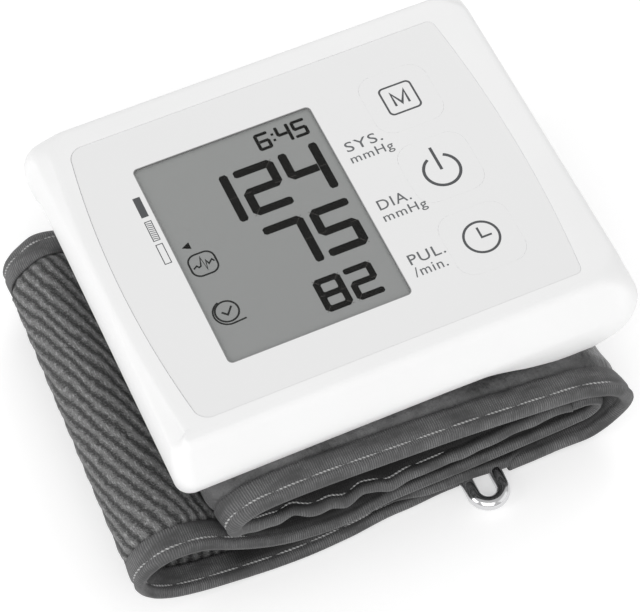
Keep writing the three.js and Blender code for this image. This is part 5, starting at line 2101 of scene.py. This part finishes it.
        inner = thick / 2 + 0.12 * MM
        hem = self.flange - 0.05 * MM
        web = self.tape
        loop = [row(place, height) for place, height in profile]
        loop += [row(place, -height) for place, height in reversed(profile)]
        loop += [
            (edge + inwards * hem, lambda along, across: -inner),
            (edge + inwards * web, lambda along, across: -inner),
            (edge + inwards * web, lambda along, across: inner),
            (edge + inwards * hem, lambda along, across: inner),
        ]
        piece = band.strip(name, loop, 0.7 * MM)
        # How much light reaches each vertex, read by the tape's painted shade between the layers.
        marked(piece, "open", [self.openness(vertex.co, edge) for vertex in piece.data.vertices])
        return piece

    @staticmethod
    def openness(place: Vector, edge: float) -> float:
        """How much light reaches a tape: little between the layers, away from the edge.

        Args:
            place: a place on the tape.
            edge: where the tape's edge lies.

        Returns:
            From 0 in the dark to 1 in the open.
        """
        x, z = place.x / MM, place.z / MM
        covered = ramp(z, 19, -3) * ramp(x, -39, 6) * ramp(x, 41, -5)
        return 1 - 0.95 * covered * ramp(abs(place.y - edge) / MM, 0.5, 1.8)

    def pressed(self, band: Band, spot: Vector) -> bool:
        """Whether a stitch in front is out of sight, pressed between the layers.

        Args:
            band: the band that it holds.
            spot: where it begins.

        Returns:
            True where it is hidden.
        """
        x, z = spot.x / MM, spot.z / MM
        if band is self.strap:
            return x > (-33 if z > 4 else -4)
        return x > 4 and z < (17 if x < 34 else 11)

    def stitches(self, name: str, band: Band, thick: float, inwards: int) -> Piece:
        """Long stitches along a tape, on both its faces.

        Args:
            name: the piece's name.
            band: the band that they hold.
            thick: how thick the bound edge is.
            inwards: 1 in front, -1 behind.

        Returns:
            The mesh object.
        """
        edge = self.front if inwards > 0 else self.back
        across = edge + inwards * self.stitch_inset
        sink = thick / 2 + self.gap + self.tape - self.stitch_sink
        verts: list[Vector] = []
        faces: list[tuple[int, ...]] = []
        uvs: list[Point] = []
        pitch = self.stitch_length + self.stitch_gap
        for side, lead in ((1, 0.0), (-1, 0.5)):
            for i in range(int(band.route.length / pitch)):
                start = (i + lead) * pitch + 0.3 * self.stitch_gap
                if start + self.stitch_length > band.route.length:
                    continue
                if inwards > 0 and self.pressed(band, band.surface(start, across, 0.0)):
                    continue
                waver = 0.12 * MM * ripple(start, 0.0, 9 * MM, 1, 11.0 + side)
                self.stitch_faces(len(verts), faces, uvs)
                verts += self.stitch_points(band, start, across + waver, side, sink)
        return soft_mesh(name, verts, faces, uvs)

    def stitch_points(
        self, band: Band, start: float, across: float, side: int, sink: float
    ) -> list[Vector]:
        """The rings of points round one stitch, lowest at its ends.

        Args:
            band: the band that it holds.
            start: where it begins along the route.
            across: place across the band.
            side: 1 on the outer face, -1 on the inner one.
            sink: lift of the groove that it lies in.

        Returns:
            The points, ring by ring.
        """
        points = []
        for ring in range(self.stitch_rings):
            share = ring / (self.stitch_rings - 1)
            arch = math.sin(math.pi * share) ** 0.35
            along = start + share * self.stitch_length
            height = side * (sink + self.thread * (0.55 * arch - 0.25))
            radius = self.thread * (0.35 + 0.65 * arch)
            for k in range(self.stitch_sides):
                turn = FULL_TURN * k / self.stitch_sides
                place, lift = across + radius * math.cos(turn), height + radius * math.sin(turn)
                points.append(band.surface(along, place, lift))
        return points

    def stitch_faces(self, base: int, faces: list[tuple[int, ...]], uvs: list[Point]) -> None:
        """Adds the faces of one stitch, with a map that runs along the thread and round it.

        Args:
            base: number of its first vertex.
            faces: the faces so far.
            uvs: their places in the map so far.
        """
        sides, rings = self.stitch_sides, self.stitch_rings
        for ring in range(rings - 1):
            for k in range(sides):
                here, after = base + ring * sides + k, base + ring * sides + (k + 1) % sides
                faces.append((here, after, after + sides, here + sides))
                u0, u1 = (r / (rings - 1) * self.stitch_length for r in (ring, ring + 1))
                v0, v1 = k / sides, (k + 1) / sides
                uvs += [(u0, v0), (u0, v1), (u1, v1), (u1, v0)]
        faces.append(tuple(base + k for k in reversed(range(sides))))
        faces.append(tuple(base + (rings - 1) * sides + k for k in range(sides)))
        uvs += [(0, 0)] * (2 * sides)

    def ring_cover(self) -> None:
        """The folded tape that runs on over the ring, from the strap's end to the sleeve."""
        level = ((-8, 3.7), (-1, 3.9), (6, 3.9), (10.5, 3.7))
        falling = ((14, 3.1), (17.5, 2.5), (21, 2.1), (25, 2.1))
        points = [Vector(mm(x, 0, z)) for x, z in (*level, *falling)]
        route = Route(points, 1.3 * MM)

        def drift(point: Vector, share: float) -> Vector:
            """Both ends are drawn back under their neighbours."""
            drawn = 1.5 * (1 - ramp(point.x / MM, -5, 9)) + 1.2 * ramp(point.x / MM, 18, 5)
            return Vector((0.0, drawn * MM, 0.0))

        band = Band(route, self.front - self.cover_lead, self.back, drift)
        tape = self.binding("ring_cover_tape", band, self.tongue, 1)
        tape.data.transform(Matrix.Translation((0.0, -self.cover_lead, 0.0)))
        dressed(tape, EDGE_TAPE)

    def webbing(self, node: str) -> None:
        """A loop of webbing that holds the ring to one end of the band.

        Args:
            node: the tab's node.
        """
        loop = merged_copy(node, f"{node}_webbing")
        for vertex in loop.data.vertices:
            vertex.co.y = max(vertex.co.y, self.front + self.web_inset)
        smooth(loop, 50)
        dressed(loop, DARK_WEBBING, replaces=[node])

    def ring(self) -> None:
        """The chrome wire ring, longer than the cuff is wide."""
        low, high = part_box("wire_ring")
        wire = self.ring_wire / 2
        low.y -= self.ring_reach
        low.x -= self.ring_shift
        high.x -= self.ring_reach + self.ring_shift
        middle = (low + high) / 2
        half = ((high.x - low.x) / 2 - wire, (high.y - low.y) / 2 - wire)
        bend = min(3.4 * MM, half[0])
        outline = rounded_outline((middle.x, middle.y), (2 * half[0], 2 * half[1]), bend, steps=14)
        shape = {"dimensions": "3D", "bevel_depth": wire, "bevel_resolution": 7}
        ring = curve_mesh("wire_ring_chrome", [outline], middle.z, **shape)
        smooth(ring, 60)
        dressed(ring, BRIGHT_CHROME, replaces=["wire_ring"])


class Inside:
    """The parts that stay as the frame has them, each with the finish of its slot, cloth slots
    given dark webbing.
    """

    def build(self) -> None:
        """Gives every node that still shows its material."""
        slots = {row["node"]: row["material_slot"] for row in frame["record"]["subparts"]}
        for name, node in frame["nodes"].items():
            if node.hide_render:
                continue
            finish = SLOT_FINISHES[slots[name]]
            if isinstance(finish, (PlainWeave, RibbedTape, LoopPile)):
                finish = DARK_WEBBING
            node.data.materials.clear()
            node.data.materials.append(finish.material())
            log.info("%s: %s", name, finish.name)


@dataclass
class Studio:
    """The floor, the lights and the camera."""

    azimuth: float = math.radians(-24.4)
    elevation: float = math.radians(58.1)
    target: Place = mm(-9.5, -18.75, 44.5)
    distance: float = 435.0 * MM
    lens: float = 143.16
    sensor: float = 36.0

    def build(self) -> None:
        """Sets the scene up round the object."""
        bpy.context.scene.view_settings.view_transform = "Standard"
        self.floor()
        self.surroundings()
        self.camera()
        self.lamp("key", (-0.3, -0.8, 0.7), 0.9, 4.4)
        self.lamp("fill", (0.8, -0.6, 0.5), 0.9, 1.2)
        self.lamp("side", (-0.9, -0.05, 0.5), 0.6, 2.8)
        self.lamp("rear", (0.5, 0.8, 0.7), 0.6, 3.0)

    def floor(self) -> None:
        """A plain pale floor."""
        deselect_all()
        bpy.ops.mesh.primitive_plane_add(size=6.0, location=(0.0, 0.0, 0.0))
        floor = bpy.context.view_layer.objects.active
        floor.name = "floor"
        shader = Shader("floor_paper", (0.74, 0.74, 0.74), 0.9)
        shader.put("Specular IOR Level", 0.1)
        shader.put("Emission Color", (1.0, 1.0, 1.0, 1.0))
        shader.put("Emission Strength", 0.38)
        floor.data.materials.append(shader.material)

    def surroundings(self) -> None:
        """Even white light from all round."""
        world = bpy.data.worlds.new("studio")
        world.use_nodes = True
        sky = world.node_tree.nodes["Background"]
        sky.inputs["Color"].default_value = (1.0, 1.0, 1.0, 1.0)
        sky.inputs["Strength"].default_value = 0.58
        bpy.context.scene.world = world

    def camera(self) -> None:
        """A camera at the photograph's angle."""
        a, e = self.azimuth, self.elevation
        back = Vector((math.sin(a) * math.cos(e), -math.cos(a) * math.cos(e), math.sin(e)))
        data = bpy.data.cameras.new("camera")
        data.lens = self.lens
        data.sensor_width = self.sensor
        data.clip_start, data.clip_end = 0.01, 20.0
        camera = linked("camera", data)
        camera.location = Vector(self.target) + back * self.distance
        camera.rotation_mode = "QUATERNION"
        camera.rotation_quaternion = (-back).to_track_quat("-Z", "Y")
        bpy.context.scene.camera = camera

    def lamp(self, name: str, place: Place, size: float, power: float) -> None:
        """A soft square light that faces the object.

        Args:
            name: the light's name.
            place: where it stands.
            size: side of its square.
            power: in watts.
        """
        data = bpy.data.lights.new(name, "AREA")
        data.size = size
        data.energy = power
        lamp = linked(name, data)
        lamp.location = place
        lamp.rotation_mode = "QUATERNION"
        lamp.rotation_quaternion = (-Vector(place)).to_track_quat("-Z", "Y")


def main() -> None:
    """Builds the whole scene in order."""
    logging.basicConfig(level=logging.INFO, format="%(name)s %(message)s")
    deselect_all()
    Studio().build()
    for part in (Case(), Face(), Cuff(), Inside()):
        log.info("building %s", type(part).__name__)
        part.build()


if __name__ == "__main__":
    main()
